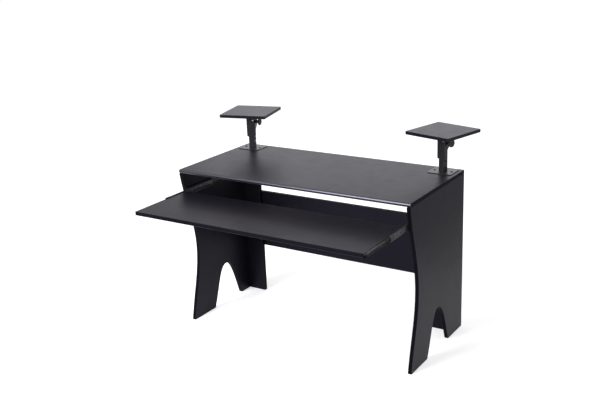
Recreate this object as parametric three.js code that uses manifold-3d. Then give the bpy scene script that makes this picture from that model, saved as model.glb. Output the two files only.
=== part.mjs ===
// A studio desk of black boards with a pull-out keyboard tray on ball-bearing
// runners and two monitor stands that turn, lift and tilt.
// Millimetres. X runs to the right, Y to the back and Z up. The origin is on the
// floor, under the middle of everything the desk covers with its tray pulled out.
import * as THREE from 'three';
import { mergeVertices } from 'three/addons/utils/BufferGeometryUtils.js';
import Module from 'manifold-3d';

const wasm = await Module();
wasm.setup();

// Overall sizes, with the desktop's front edge at Y zero before the origin is moved
const deskWidth = 1220;
const deskDepth = 566;
const deskHeight = 787;
const boardThickness = 18;
const edgeRound = 0.8;

// Side panels: the front edge curves in to a waist, an arch parts the two feet
const panelSetback = 1;
const waistDepth = 82;
const waistHeight = 370;
const footSetback = 10;
const frontFootDepth = 166;
const rearFootDepth = 160;
const archHeight = 210;
const archCrestShare = 0.48;
const upperCurveShares = { inwards: 0.22, along: 0.33 };
const lowerCurveShares = { waist: 0.36, inwards: 0.37, along: 0.385 };
const archFrontShares = { footIn: 0.4, footUp: 0.46, crestIn: 0.47 };
const archRearShares = { crestOut: 0.46, footOut: 0.34, footUp: 0.55 };

// Return panels stiffen the side panels, and the rear panel ties the two together
const returnWidth = 100;
const returnRearGap = 66;
const rearPanelHeight = 299;
const rearPanelClearance = 257;

// Keyboard tray
const keyboardSpace = 86;
const traySetback = 6;
const trayDepth = 354;
const trayTravel = 354;

// Runners, one on each side of the tray: across is measured from the side panel
const runnerHeight = 35;
const runnerSpace = 12.7;
const outerSetback = 14;
const outerLength = 350;
const outerSheet = 1.2;
const outerReach = 8.8;
const outerLip = 3.1;
const middleTravelShare = 0.42;
const middleSheet = 1;
const middleReach = 11.5;
const middleLip = 3;
const bumperLength = 28;
const bumperWall = 2;
const innerSetback = 2;
const innerSheet = 1.2;
const innerReach = 7.1;
const sheetBend = 2.2;
const runnerPlay = 0.4;

// Ball cages between the runner members
const ballRadius = 1.5;
const ballPlay = 0.3;
const cageSheet = 0.6;
const outerCageLength = 160;
const outerCageSetback = 16;
const innerCageLength = 92;
const innerCageSetback = 6;
const ballPitch = 24;
const cageEnd = 8;

// Slots and holes along the runner members
const mountHoleRadius = 2.6;
const mountHoleInset = 35;
const slotLength = 22;
const slotWidth = 6;
const slotInset = 48;
const slotPitch = 96;

// Release levers on the tray's members
const leverLength = 50;
const leverSetback = 178;
const leverWidth = 8;
const leverThickness = 2.4;
const leverTabLength = 16;
const leverTabHeight = 2.6;

// Monitor stands, set in from the desktop's side and rear edges and toed in
const standInset = 77;
const standRearGap = 66;
const toeInDegrees = 14;
const plateWidth = 118;
const plateDepth = 100;
const plateThickness = 3;
const plateCorner = 12;
const plateScrewSpread = 84;
const pinRadius = 4;
const pinHeight = 8;
const swivelSide = 26;
const swivelWall = 1.5;
const swivelFloor = 3;
const swivelHeight = 104;
const mastSide = 30;
const mastHeight = 114;
const mastCorner = 2.5;
const mastPlay = 0.3;
const clampScrewLow = 19;
const clampScrewHigh = 47;

// Tilt head: a folded channel that carries the pivot
const headLift = 59;
const headWidth = 45;
const headHeight = 97;
const headSheet = 2;
const headBend = 3;
const headCorner = 5;
const earDepth = 41;
const earHeight = 27;
const stemDepth = 15;
const stemHeight = 32;
const footInset = 3.5;
const footHeight = 6;
const headScrewHeight = 47;
const cornerScrewHeight = 85;
const cornerScrewOffset = 14;
const pivotHeight = 75;
const pivotSetback = 6;
const pivotRadius = 4;

// Tilt bracket and platform
const platformSide = 242;
const platformThickness = 15;
const platformCorner = 5;
const platformEdge = 1.2;
const platformLift = 42;
const platformForward = 4;
const bracketSheet = 2.5;
const bracketPlate = 110;
const bracketCorner = 6;
const bracketEarRadius = 10;
const bracketEarSpread = 40;
const bracketScrewSpread = 86;
const bracketPlay = 0.5;
const bracketEarHeight = 28;

// Tilt knob
const knobRadius = 19;
const knobThickness = 9;
const knobEdge = 2;
const knobScallop = 0.9;
const knobLobes = 10;
const knobHubRadius = 8;
const knobHubLength = 15;
const boltReach = 39;

// Fasteners
const screwHeadRadius = 5;
const screwHeadHeight = 3;
const screwRadius = 3;
const plateScrewLength = 17;
const clampHeadHeight = 5;
const platformScrewLength = 12;
const hexRadius = 7.5;
const hexHeight = 5.5;
const seatGap = 0.3;
const overrun = 10;

// How finely round shapes are cut
const curveSteps = 10;
const noseSteps = 8;
const bendSteps = 2;
const cornerSteps = 6;
const roundSteps = 12;
const screwSteps = 10;
const ballSteps = 6;
const ballRings = 4;
const edgeSteps = 1;

// Levels and faces that several pieces share
const deskRadiusX = deskWidth / 2;
const innerFaceX = deskRadiusX - boardThickness;
const undersideZ = deskHeight - boardThickness;
const returnRearY = deskDepth - returnRearGap;
const trayTopZ = undersideZ - keyboardSpace;
const trayHalfWidth = innerFaceX - runnerSpace;
const runnerZ = trayTopZ - boardThickness / 2;
const innerLength = trayDepth - 2 * innerSetback;
const middleLength = outerLength - bumperLength;
const trayFrontY = traySetback - trayTravel;
const standX = deskRadiusX - standInset;
const standY = deskDepth - standRearGap;
const swivelHalf = swivelSide / 2;
const mastHalf = mastSide / 2;
const webInnerY = -mastHalf - seatGap;
const webOuterY = webInnerY - headSheet;
const platformMiddleY = -pivotSetback - platformForward;

// Finishes
const finish = (color, roughness, metalness) =>
  new THREE.MeshStandardMaterial({ color, roughness, metalness });
const blackBoard = finish(0x1f1f23, 0.42, 0);
const blackSteel = finish(0x17171a, 0.45, 0.4);
const zincSteel = finish(0xa9abad, 0.32, 0.9);
const darkSteel = finish(0x3a3b3e, 0.4, 0.8);
const blackPlastic = finish(0x121214, 0.55, 0);
const ballSteel = finish(0xc4c6c8, 0.2, 1);

const axisX = new THREE.Vector3(1, 0, 0);
const axisY = new THREE.Vector3(0, 1, 0);
const axisZ = new THREE.Vector3(0, 0, 1);
// An outline drawn as (Y, Z) and pushed out along X
const outlineYZ = new THREE.Matrix4().makeBasis(axisY, axisZ, axisX);
// An outline drawn as (X, Z) and pushed out towards the front
const outlineXZ = new THREE.Matrix4().makeBasis(axisX, axisZ, axisY.clone().negate());
const quarterTurn = Math.PI / 2;

function outlineOf(points) {
  return new THREE.Shape(points.map(([a, b]) => new THREE.Vector2(a, b)));
}

function rectangle(width, height, corner = 0) {
  const shape = new THREE.Shape();
  const a = width / 2;
  const b = height / 2;
  if (corner === 0) return outlineOf([[-a, -b], [a, -b], [a, b], [-a, b]]);
  shape.absarc(a - corner, -b + corner, corner, -quarterTurn, 0);
  shape.absarc(a - corner, b - corner, corner, 0, quarterTurn);
  shape.absarc(-a + corner, b - corner, corner, quarterTurn, Math.PI);
  shape.absarc(-a + corner, -b + corner, corner, Math.PI, Math.PI + quarterTurn);
  return shape;
}

// Pushes an outline out to a thickness, with its edges rounded inside that size
function extruded(shape, thickness, round = 0, steps = curveSteps) {
  const geometry = new THREE.ExtrudeGeometry(shape, {
    depth: thickness - 2 * round,
    bevelEnabled: round > 0,
    bevelThickness: round,
    bevelSize: round,
    bevelOffset: -round,
    bevelSegments: edgeSteps,
    curveSegments: steps,
  });
  return geometry.translate(0, 0, round);
}

function cylinder(radius, length, steps = roundSteps) {
  return new THREE.CylinderGeometry(radius, radius, length, steps).rotateX(quarterTurn);
}

function solid(geometry) {
  const bare = geometry.clone();
  bare.deleteAttribute('normal');
  bare.deleteAttribute('uv');
  const merged = mergeVertices(bare);
  const mesh = new wasm.Mesh({
    numProp: 3,
    vertProperties: Float32Array.from(merged.attributes.position.array),
    triVerts: Uint32Array.from(merged.index.array),
  });
  return new wasm.Manifold(mesh);
}

function geometryOf(body) {
  const { vertProperties, triVerts } = body.getMesh();
  const geometry = new THREE.BufferGeometry();
  geometry.setAttribute('position', new THREE.BufferAttribute(vertProperties, 3));
  geometry.setIndex(new THREE.BufferAttribute(triVerts, 1));
  const flat = geometry.toNonIndexed();
  flat.computeVertexNormals();
  return flat;
}

function cut(geometry, ...tools) {
  return geometryOf(tools.reduce((rest, tool) => rest.subtract(solid(tool)), solid(geometry)));
}

function joined(...geometries) {
  return geometryOf(geometries.map(solid).reduce((whole, piece) => whole.add(piece)));
}

function common(...geometries) {
  return geometryOf(geometries.map(solid).reduce((whole, piece) => whole.intersect(piece)));
}

function piece(name, geometry, material, position = [0, 0, 0]) {
  const mesh = new THREE.Mesh(geometry, material);
  mesh.name = name;
  mesh.position.set(...position);
  return mesh;
}

// Boards

// A board section drawn as (Y, Z): flat behind, fully rounded at the front edge
function nosedBoard(width, depth) {
  const radius = boardThickness / 2;
  const section = new THREE.Shape();
  section.moveTo(depth, 0);
  section.lineTo(depth, boardThickness);
  section.lineTo(radius, boardThickness);
  section.absarc(radius, radius, radius, quarterTurn, 3 * quarterTurn);
  section.lineTo(depth, 0);
  return extruded(section, width, 0, noseSteps).applyMatrix4(outlineYZ).translate(-width / 2, 0, 0);
}

function desktop() {
  const board = nosedBoard(deskWidth, deskDepth);
  const pilots = [];
  for (const side of [-1, 1]) {
    for (const end of [-1, 1]) {
      const depth = plateScrewLength + seatGap - plateThickness;
      const pilot = cylinder(screwRadius + seatGap, depth + overrun);
      const x = side * standX + end * plateScrewSpread / 2;
      pilots.push(pilot.translate(x, standY, boardThickness - depth + (depth + overrun) / 2));
    }
  }
  return piece('desktop', cut(board, ...pilots), blackBoard, [0, 0, undersideZ]);
}

function sidePanelOutline() {
  const front = panelSetback;
  const waistY = front + waistDepth;
  const upper = undersideZ - waistHeight;
  const footFront = footSetback;
  const archFront = footFront + frontFootDepth;
  const archRear = deskDepth - rearFootDepth;
  const archWidth = archRear - archFront;
  const crestY = archFront + archWidth * archCrestShare;
  const archFrontWidth = crestY - archFront;
  const archRearWidth = archRear - crestY;
  const outline = new THREE.Shape();
  outline.moveTo(deskDepth, 0);
  outline.lineTo(deskDepth, undersideZ);
  outline.lineTo(front, undersideZ);
  outline.bezierCurveTo(
    front + waistDepth * upperCurveShares.inwards, undersideZ - upper * upperCurveShares.along,
    waistY, waistHeight + upper * upperCurveShares.along,
    waistY, waistHeight);
  outline.bezierCurveTo(
    waistY, waistHeight * (1 - lowerCurveShares.waist),
    footFront + (waistY - footFront) * lowerCurveShares.inwards,
    waistHeight * lowerCurveShares.along,
    footFront, 0);
  outline.lineTo(archFront, 0);
  outline.bezierCurveTo(
    archFront + archFrontWidth * archFrontShares.footIn, archHeight * archFrontShares.footUp,
    crestY - archFrontWidth * archFrontShares.crestIn, archHeight,
    crestY, archHeight);
  outline.bezierCurveTo(
    crestY + archRearWidth * archRearShares.crestOut, archHeight,
    archRear - archRearWidth * archRearShares.footOut, archHeight * archRearShares.footUp,
    archRear, 0);
  outline.lineTo(deskDepth, 0);
  return outline;
}

function sidePanel(name, side) {
  const geometry = extruded(sidePanelOutline(), boardThickness, edgeRound);
  const leftFace = side > 0 ? innerFaceX : -deskRadiusX;
  return piece(name, geometry.applyMatrix4(outlineYZ), blackBoard, [leftFace, 0, 0]);
}

function returnPanel(name, side) {
  const board = extruded(rectangle(returnWidth, undersideZ), boardThickness, edgeRound);
  const x = side * (innerFaceX - returnWidth / 2);
  return piece(name, board.applyMatrix4(outlineXZ), blackBoard, [x, returnRearY, undersideZ / 2]);
}

function rearPanel() {
  const board = extruded(rectangle(2 * innerFaceX, rearPanelHeight), boardThickness, edgeRound);
  const z = rearPanelClearance + rearPanelHeight / 2;
  return piece('rear_panel', board.applyMatrix4(outlineXZ), blackBoard,
    [0, returnRearY + boardThickness, z]);
}

function keyboardTray() {
  return piece('keyboard_tray', nosedBoard(2 * trayHalfWidth, trayDepth), blackBoard,
    [0, trayFrontY, trayTopZ - boardThickness]);
}

// Runners. Sections are drawn as (across, height): across grows from the side
// panel towards the tray, and height is measured from the runner's middle.

// The closed outline of a folded sheet, from the middle line of its metal
function sheetOutline(line, sheet, bend) {
  const path = new THREE.Path();
  path.moveTo(...line[0]);
  for (let i = 1; i < line.length - 1; i += 1) {
    const corner = new THREE.Vector2(...line[i]);
    const before = new THREE.Vector2(...line[i - 1]).sub(corner).setLength(bend).add(corner);
    const after = new THREE.Vector2(...line[i + 1]).sub(corner).setLength(bend).add(corner);
    path.lineTo(before.x, before.y);
    path.quadraticCurveTo(corner.x, corner.y, after.x, after.y);
  }
  path.lineTo(...line[line.length - 1]);
  const middle = path.getPoints(bendSteps);
  const headings = middle.slice(1).map((point, i) => point.clone().sub(middle[i]).normalize());
  const left = [];
  const right = [];
  middle.forEach((point, i) => {
    const before = headings[Math.max(i - 1, 0)];
    const after = headings[Math.min(i, headings.length - 1)];
    const along = before.clone().add(after).normalize();
    const reach = sheet / 2 / along.dot(before);
    left.push([point.x - along.y * reach, point.y + along.x * reach]);
    right.push([point.x + along.y * reach, point.y - along.x * reach]);
  });
  return [...left, ...right.reverse()];
}

// A lipped channel with its web at a distance from the panel, open to either side
function channelLine(webAcross, tipAcross, halfHeight, lip) {
  const upper = [[webAcross, halfHeight], [tipAcross, halfHeight]];
  if (lip > 0) upper.push([tipAcross, halfHeight - lip]);
  const lower = upper.map(([across, height]) => [across, -height]);
  return [...upper.reverse(), ...lower];
}

// Pushes a runner section out along Y on one side of the desk
function runnerBar(side, points, length) {
  const outline = outlineOf(points.map(([across, height]) => [side * -across, height]));
  return extruded(outline, length).applyMatrix4(outlineXZ).translate(0, length, 0);
}

// Levels that the members and cages of a runner share
const raceGap = 2 * (ballRadius + ballPlay);
const outerRaceHeight = runnerHeight / 2 - outerSheet;
const middleTopHeight = outerRaceHeight - raceGap;
const innerTopHeight = middleTopHeight - middleSheet - raceGap;
const outerBallHeight = outerRaceHeight - raceGap / 2;
const innerBallHeight = innerTopHeight + raceGap / 2;
const outerCageAcross = outerSheet + runnerPlay;
const middleAcross = outerCageAcross + cageSheet + runnerPlay;
const innerCageAcross = middleAcross + middleSheet + runnerPlay;
const outerBallAcross = outerReach / 2;
const innerBallAcross = (runnerSpace - innerReach + middleReach - middleSheet) / 2;

function acrossCylinder(radius, along, height = 0) {
  const bar = cylinder(radius, 2 * (runnerSpace + overrun)).rotateY(quarterTurn);
  return bar.translate(0, along, height);
}

// A round-ended slot cut through a member's web
function acrossSlot(along) {
  const slot = rectangle(slotLength, slotWidth, slotWidth / 2);
  const reach = 2 * (runnerSpace + overrun);
  return extruded(slot, reach, 0, bendSteps).applyMatrix4(outlineYZ).translate(-reach / 2, along, 0);
}

function runnerOuter(side) {
  const line = channelLine(outerSheet / 2, outerReach - outerSheet / 2,
    (runnerHeight - outerSheet) / 2, outerLip);
  const bar = runnerBar(side, sheetOutline(line, outerSheet, sheetBend), outerLength);
  const holes = [mountHoleInset, outerLength / 2, outerLength - mountHoleInset];
  return cut(bar, ...holes.map((along) => acrossCylinder(mountHoleRadius, along)));
}

function runnerMiddle(side) {
  const line = channelLine(middleAcross + middleSheet / 2, middleReach - middleSheet / 2,
    middleTopHeight - middleSheet / 2, middleLip);
  const bar = runnerBar(side, sheetOutline(line, middleSheet, sheetBend), middleLength);
  const slots = [];
  for (let along = slotInset; along < middleLength - slotInset; along += slotPitch) {
    slots.push(acrossSlot(along), acrossCylinder(slotWidth / 2, along + slotPitch / 2));
  }
  return cut(bar, ...slots);
}

// A moulded block around the tray's member that leads the middle member
function runnerBumper(side) {
  const half = middleTopHeight;
  const gapHeight = innerTopHeight + runnerPlay;
  const webAcross = middleAcross + bumperWall;
  return runnerBar(side, [
    [middleAcross, half], [middleReach, half], [middleReach, gapHeight], [webAcross, gapHeight],
    [webAcross, -gapHeight], [middleReach, -gapHeight], [middleReach, -half], [middleAcross, -half],
  ], bumperLength - seatGap);
}

function runnerInner(side) {
  const line = channelLine(runnerSpace - innerSheet / 2, runnerSpace - innerReach,
    innerTopHeight - innerSheet / 2, 0);
  const bar = runnerBar(side, sheetOutline(line, innerSheet, sheetBend), innerLength);
  const holes = [mountHoleInset, innerLength / 2, innerLength - mountHoleInset];
  return cut(bar, ...holes.map((along) => acrossCylinder(mountHoleRadius, along)));
}

// A thin folded strip that carries a row of balls above and one below
function ballCage(side, webAcross, tipAcross, ballAcross, ballHeight, length) {
  const line = channelLine(webAcross + cageSheet / 2, tipAcross, ballHeight, 0);
  const strip = runnerBar(side, sheetOutline(line, cageSheet, cageSheet), length);
  const balls = [];
  for (let along = cageEnd; along <= length - cageEnd; along += ballPitch) {
    for (const height of [-ballHeight, ballHeight]) {
      const ball = new THREE.SphereGeometry(ballRadius, ballSteps, ballRings);
      balls.push(ball.translate(-side * ballAcross, along, height));
    }
  }
  return joined(strip, ...balls);
}

// A flat spring lever with a raised thumb tab, lying in the tray's member
function releaseLever(side) {
  const half = leverWidth / 2;
  const body = extruded(rectangle(leverLength, leverWidth, half), leverThickness, 0, bendSteps);
  const tab = extruded(rectangle(leverTabLength, leverWidth, half / 2), leverTabHeight, 0, bendSteps);
  tab.translate((leverTabLength - leverLength) / 2 + half, 0, leverThickness - seatGap);
  const lever = joined(body, tab).applyMatrix4(outlineYZ);
  return side > 0 ? lever : lever.rotateY(2 * quarterTurn);
}

function runner(word, side) {
  const group = new THREE.Group();
  const bumperY = outerSetback - trayTravel * middleTravelShare;
  const middleY = bumperY + bumperLength;
  const innerY = trayFrontY + innerSetback;
  const leverX = -side * (runnerSpace - innerSheet - seatGap);
  group.position.set(side * innerFaceX, 0, runnerZ);
  group.add(
    piece(`runner_outer_${word}`, runnerOuter(side), blackSteel, [0, outerSetback, 0]),
    piece(`runner_middle_${word}`, runnerMiddle(side), zincSteel, [0, middleY, 0]),
    piece(`runner_bumper_${word}`, runnerBumper(side), blackPlastic, [0, bumperY, 0]),
    piece(`runner_inner_${word}`, runnerInner(side), darkSteel, [0, innerY, 0]),
    piece(`ball_cage_outer_${word}`,
      ballCage(side, outerCageAcross, outerReach - outerSheet - runnerPlay, outerBallAcross,
        outerBallHeight, outerCageLength),
      ballSteel, [0, outerSetback + outerCageSetback, 0]),
    piece(`ball_cage_inner_${word}`,
      ballCage(side, innerCageAcross, middleReach - middleSheet - runnerPlay, innerBallAcross,
        innerBallHeight, innerCageLength),
      ballSteel, [0, middleY + innerCageSetback, 0]),
    piece(`release_lever_${word}`, releaseLever(side), blackPlastic,
      [leverX, innerY + leverSetback + leverLength / 2, 0]));
  return group;
}

// Monitor stands. Each is drawn with Z zero on the desktop and faces the front.

// A screw that points down, with its head standing on Z zero
function screw(headRadius, headHeight, length) {
  const profile = [
    [0, -length], [screwRadius, -length], [screwRadius, 0], [headRadius, 0],
    [headRadius, headHeight / 2], [headRadius - headHeight / 2, headHeight], [0, headHeight],
  ];
  const points = profile.map(([radius, height]) => new THREE.Vector2(radius, height));
  return new THREE.LatheGeometry(points, screwSteps).rotateX(quarterTurn);
}

function tube(side, wall, height, corner) {
  const section = rectangle(side, side, corner);
  section.holes.push(rectangle(side - 2 * wall, side - 2 * wall, corner - wall / 2));
  return extruded(section, height, 0, bendSteps);
}

function standPlate() {
  const plate = extruded(rectangle(plateWidth, plateDepth, plateCorner), plateThickness, 0,
    cornerSteps);
  const pin = cylinder(pinRadius, pinHeight + plateThickness);
  pin.translate(0, 0, (pinHeight + plateThickness) / 2);
  const holes = [-1, 1].map((end) =>
    cylinder(screwRadius + seatGap, plateThickness + overrun).translate(end * plateScrewSpread / 2, 0, 0));
  return cut(joined(plate, pin), ...holes);
}

// The square tube inside the mast, which turns on the plate's pin
function swivelTube() {
  const wallTube = tube(swivelSide, swivelWall, swivelHeight, mastCorner);
  const floor = extruded(rectangle(swivelSide, swivelSide, mastCorner), swivelFloor, 0, bendSteps);
  return cut(joined(wallTube, floor), cylinder(pinRadius + seatGap, 2 * (swivelFloor + overrun)));
}

function mast() {
  const wall = mastHalf - swivelHalf - mastPlay;
  const holes = [clampScrewLow, clampScrewHigh].map((height) =>
    cylinder(screwRadius + seatGap, mastSide).rotateY(quarterTurn)
      .translate(mastHalf, 0, height - seatGap));
  return cut(tube(mastSide, wall, mastHeight, mastCorner), ...holes);
}

function clampScrew() {
  const length = mastHalf + seatGap - (swivelHalf + seatGap);
  const geometry = screw(screwHeadRadius, clampHeadHeight, length).rotateY(quarterTurn);
  return geometry.translate(mastHalf + seatGap, 0, 0);
}

const headScrewPlaces = [[0, headScrewHeight], [cornerScrewOffset, cornerScrewHeight]];

// The head is a folded channel, cut to its front and side outlines
function tiltHead() {
  const half = headWidth / 2;
  const rearY = webOuterY + earDepth;
  const middle = headSheet / 2;
  const fold = sheetOutline([
    [-half + middle, rearY], [-half + middle, webOuterY + middle],
    [half - middle, webOuterY + middle], [half - middle, rearY],
  ], headSheet, headBend);
  const channel = extruded(outlineOf(fold), headHeight);
  const front = outlineOf([
    [-half + footInset, 0], [half - footInset, 0], [half, footHeight],
    [half, headHeight - headCorner], [half - headCorner, headHeight],
    [-half + headCorner, headHeight], [-half, headHeight - headCorner], [-half, footHeight],
  ]);
  const faceCut = extruded(front, earDepth + 2 * overrun).applyMatrix4(outlineXZ);
  faceCut.translate(0, rearY + overrun, 0);
  const stemY = webOuterY + stemDepth;
  const profile = new THREE.Shape();
  profile.moveTo(webOuterY - overrun, 0);
  profile.lineTo(stemY - footInset, 0);
  profile.lineTo(stemY, footHeight);
  profile.lineTo(stemY, stemHeight);
  profile.quadraticCurveTo(rearY, headHeight - earHeight - headCorner, rearY, headHeight - earHeight);
  profile.lineTo(rearY, headHeight - headCorner);
  profile.lineTo(rearY - headCorner, headHeight);
  profile.lineTo(webOuterY - overrun, headHeight);
  const sideCut = extruded(profile, headWidth + 2 * overrun).applyMatrix4(outlineYZ);
  sideCut.translate(-half - overrun, 0, 0);
  const pivotHole = cylinder(pivotRadius + seatGap, headWidth + overrun).rotateY(quarterTurn);
  const screwHoles = headScrewPlaces.map(([x, z]) =>
    cylinder(screwRadius + seatGap, overrun).rotateX(quarterTurn).translate(x, webOuterY, z));
  return cut(common(channel, faceCut, sideCut), pivotHole.translate(0, pivotSetback, pivotHeight),
    ...screwHoles);
}

// A low screw through the head's web, its tip just off the mast
function headScrew() {
  const geometry = screw(screwHeadRadius, screwHeadHeight / 2, headSheet + seatGap);
  return geometry.rotateX(quarterTurn).translate(0, webOuterY - seatGap, 0);
}

function pivotBolt() {
  const hexX = -headWidth / 2 - seatGap - hexHeight / 2;
  const shank = cylinder(pivotRadius, boltReach - hexX).rotateY(quarterTurn);
  const hex = new THREE.CylinderGeometry(hexRadius, hexRadius, hexHeight, 6).rotateZ(quarterTurn);
  return joined(shank.translate((boltReach + hexX) / 2, 0, 0), hex.translate(hexX, 0, 0));
}

// Folded ears that hang from a square plate, with the pivot through them
function tiltBracket() {
  const outerX = headWidth / 2 - headSheet - bracketPlay;
  const middleX = outerX - bracketSheet / 2;
  const plateZ = platformLift - bracketSheet;
  const fold = sheetOutline([
    [-middleX, -bracketEarRadius], [-middleX, plateZ + bracketSheet / 2],
    [middleX, plateZ + bracketSheet / 2], [middleX, -bracketEarRadius],
  ], bracketSheet, headBend);
  const channel = extruded(outlineOf(fold), bracketEarSpread).applyMatrix4(outlineXZ);
  channel.translate(0, bracketEarSpread / 2, 0);
  const ear = new THREE.Shape();
  ear.absarc(0, 0, bracketEarRadius, Math.PI, 2 * Math.PI);
  ear.lineTo(bracketEarRadius, bracketEarHeight);
  ear.lineTo(bracketEarSpread / 2, platformLift);
  ear.lineTo(-bracketEarSpread / 2, platformLift);
  ear.lineTo(-bracketEarRadius, bracketEarHeight);
  const earCut = extruded(ear, headWidth).applyMatrix4(outlineYZ).translate(-headWidth / 2, 0, 0);
  const plate = extruded(rectangle(bracketPlate, bracketPlate, bracketCorner), bracketSheet, 0, bendSteps);
  const holes = screwPlaces().map(([x, y]) =>
    cylinder(screwRadius + seatGap, overrun).translate(x, y, platformLift));
  const pivotHole = cylinder(pivotRadius + seatGap, headWidth).rotateY(quarterTurn);
  const whole = joined(common(channel, earCut), plate.translate(0, platformMiddleY, plateZ));
  return cut(whole, pivotHole, ...holes);
}

function screwPlaces() {
  const half = bracketScrewSpread / 2;
  const corners = [[-half, -half], [half, -half], [half, half], [-half, half]];
  return corners.map(([x, y]) => [x, y + platformMiddleY]);
}

function platform() {
  const board = extruded(rectangle(platformSide, platformSide, platformCorner), platformThickness,
    platformEdge, cornerSteps).translate(0, platformMiddleY, 0);
  const depth = platformScrewLength - bracketSheet;
  const pilots = screwPlaces().map(([x, y]) =>
    cylinder(screwRadius + seatGap, 2 * (depth + seatGap)).translate(x, y, 0));
  return cut(board, ...pilots).translate(0, 0, platformLift + seatGap);
}

// A scalloped disc on a hub, bored for the end of the pivot bolt
function tiltKnob() {
  const rim = new THREE.Shape();
  const steps = knobLobes * 4;
  const places = Array.from({ length: steps }, (_, i) => {
    const angle = (i / steps) * 2 * Math.PI;
    const radius = knobRadius - knobScallop * (1 - Math.cos(knobLobes * angle)) / 2;
    return new THREE.Vector2(radius * Math.cos(angle), radius * Math.sin(angle));
  });
  rim.setFromPoints(places);
  const start = headWidth / 2 + seatGap;
  const disc = extruded(rim, knobThickness, knobEdge).applyMatrix4(outlineYZ);
  disc.translate(start + knobHubLength, 0, 0);
  const hubLength = knobHubLength + knobThickness / 2;
  const hub = cylinder(knobHubRadius, hubLength).rotateY(quarterTurn);
  hub.translate(start + hubLength / 2, 0, 0);
  const boreLength = boltReach + 2 * seatGap;
  const bore = cylinder(pivotRadius + seatGap, boreLength).rotateY(quarterTurn);
  return cut(joined(disc, hub), bore.translate(boreLength / 2, 0, 0));
}

function stand(word, side) {
  const group = new THREE.Group();
  group.position.set(side * standX, standY, deskHeight);
  group.add(piece(`stand_plate_${word}`, standPlate(), blackSteel));
  for (const [place, end] of [['inner', -side], ['outer', side]]) {
    group.add(piece(`plate_screw_${place}_${word}`, screw(screwHeadRadius, screwHeadHeight, plateScrewLength),
      blackSteel, [end * plateScrewSpread / 2, 0, plateThickness]));
  }
  const turned = new THREE.Group();
  turned.position.z = plateThickness;
  turned.rotation.z = THREE.MathUtils.degToRad(-side * toeInDegrees);
  turned.add(
    piece(`swivel_tube_${word}`, swivelTube(), darkSteel, [0, 0, seatGap]),
    piece(`mast_${word}`, mast(), blackSteel, [0, 0, seatGap]),
    piece(`clamp_screw_lower_${word}`, clampScrew(), blackSteel, [0, 0, clampScrewLow]),
    piece(`clamp_screw_upper_${word}`, clampScrew(), blackSteel, [0, 0, clampScrewHigh]),
    piece(`tilt_head_${word}`, tiltHead(), blackSteel, [0, 0, headLift]),
    piece(`head_screw_${word}`, headScrew(), zincSteel, [0, 0, headLift + headScrewHeight]),
    piece(`corner_screw_${word}`, headScrew(), zincSteel,
      [cornerScrewOffset, 0, headLift + cornerScrewHeight]));
  const tilting = new THREE.Group();
  tilting.position.set(0, pivotSetback, headLift + pivotHeight);
  tilting.add(
    piece(`pivot_bolt_${word}`, pivotBolt(), blackSteel),
    piece(`tilt_bracket_${word}`, tiltBracket(), blackSteel),
    piece(`platform_${word}`, platform(), blackBoard),
    piece(`tilt_knob_${word}`, tiltKnob(), blackPlastic));
  screwPlaces().forEach(([x, y], i) => {
    const geometry = screw(screwHeadRadius, screwHeadHeight, platformScrewLength).rotateX(2 * quarterTurn);
    tilting.add(piece(`platform_screw_${i + 1}_${word}`, geometry, blackSteel,
      [x, y, platformLift - bracketSheet - seatGap]));
  });
  turned.add(tilting);
  group.add(turned);
  return group;
}

const desk = new THREE.Group();
desk.add(
  desktop(),
  sidePanel('side_panel_left', -1),
  sidePanel('side_panel_right', 1),
  returnPanel('return_panel_left', -1),
  returnPanel('return_panel_right', 1),
  rearPanel(),
  keyboardTray(),
  runner('left', -1),
  runner('right', 1),
  stand('left', -1),
  stand('right', 1));

// The origin moves under the middle of the depth from the pulled-out tray's front
// edge to the rear corners of the toed-in platforms
const toeIn = THREE.MathUtils.degToRad(toeInDegrees);
const cornerReach = platformSide / 2 - platformCorner;
const platformRearY = standY + cornerReach * (Math.cos(toeIn) + Math.sin(toeIn)) + platformCorner
  - platformForward * Math.cos(toeIn);
desk.position.y = -(trayFrontY + platformRearY) / 2;

export default desk;
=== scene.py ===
"""A black studio desk with a pull-out tray and two monitor stands, dressed for Blender 4.5.

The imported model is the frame. Each sub-assembly below builds finer pieces over its solids, gives
them their finishes and lets them ride on the same bodies. Sizes are in millimetres and are turned
into metres when a mesh is made.
"""

from __future__ import annotations

import logging
import math
from abc import ABC, abstractmethod
from collections.abc import Callable, Iterator, Mapping, Sequence
from dataclasses import dataclass, field
from enum import Enum
from typing import Any

import bmesh
import bpy
from mathutils import Matrix, Vector

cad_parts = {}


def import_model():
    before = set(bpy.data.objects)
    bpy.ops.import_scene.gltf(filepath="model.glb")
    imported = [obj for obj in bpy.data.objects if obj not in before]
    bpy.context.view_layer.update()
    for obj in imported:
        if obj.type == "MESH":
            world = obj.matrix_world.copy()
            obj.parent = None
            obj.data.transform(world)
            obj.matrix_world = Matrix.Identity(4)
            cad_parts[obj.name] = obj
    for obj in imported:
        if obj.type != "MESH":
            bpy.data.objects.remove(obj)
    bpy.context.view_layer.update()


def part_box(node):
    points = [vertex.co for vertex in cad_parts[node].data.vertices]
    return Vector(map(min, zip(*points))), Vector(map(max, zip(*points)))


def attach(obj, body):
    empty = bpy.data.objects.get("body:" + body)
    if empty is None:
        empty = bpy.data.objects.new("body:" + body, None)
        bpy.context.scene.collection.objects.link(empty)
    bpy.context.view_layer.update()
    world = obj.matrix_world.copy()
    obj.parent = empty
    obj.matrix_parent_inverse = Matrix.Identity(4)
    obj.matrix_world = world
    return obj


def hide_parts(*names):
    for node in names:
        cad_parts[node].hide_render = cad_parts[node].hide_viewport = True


LOG = logging.getLogger("studio_desk")
MM = 0.001
QUARTER = math.pi / 2
GRAIN_ROUGHNESS = 0.6
FINE_DETAIL = 2
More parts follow.
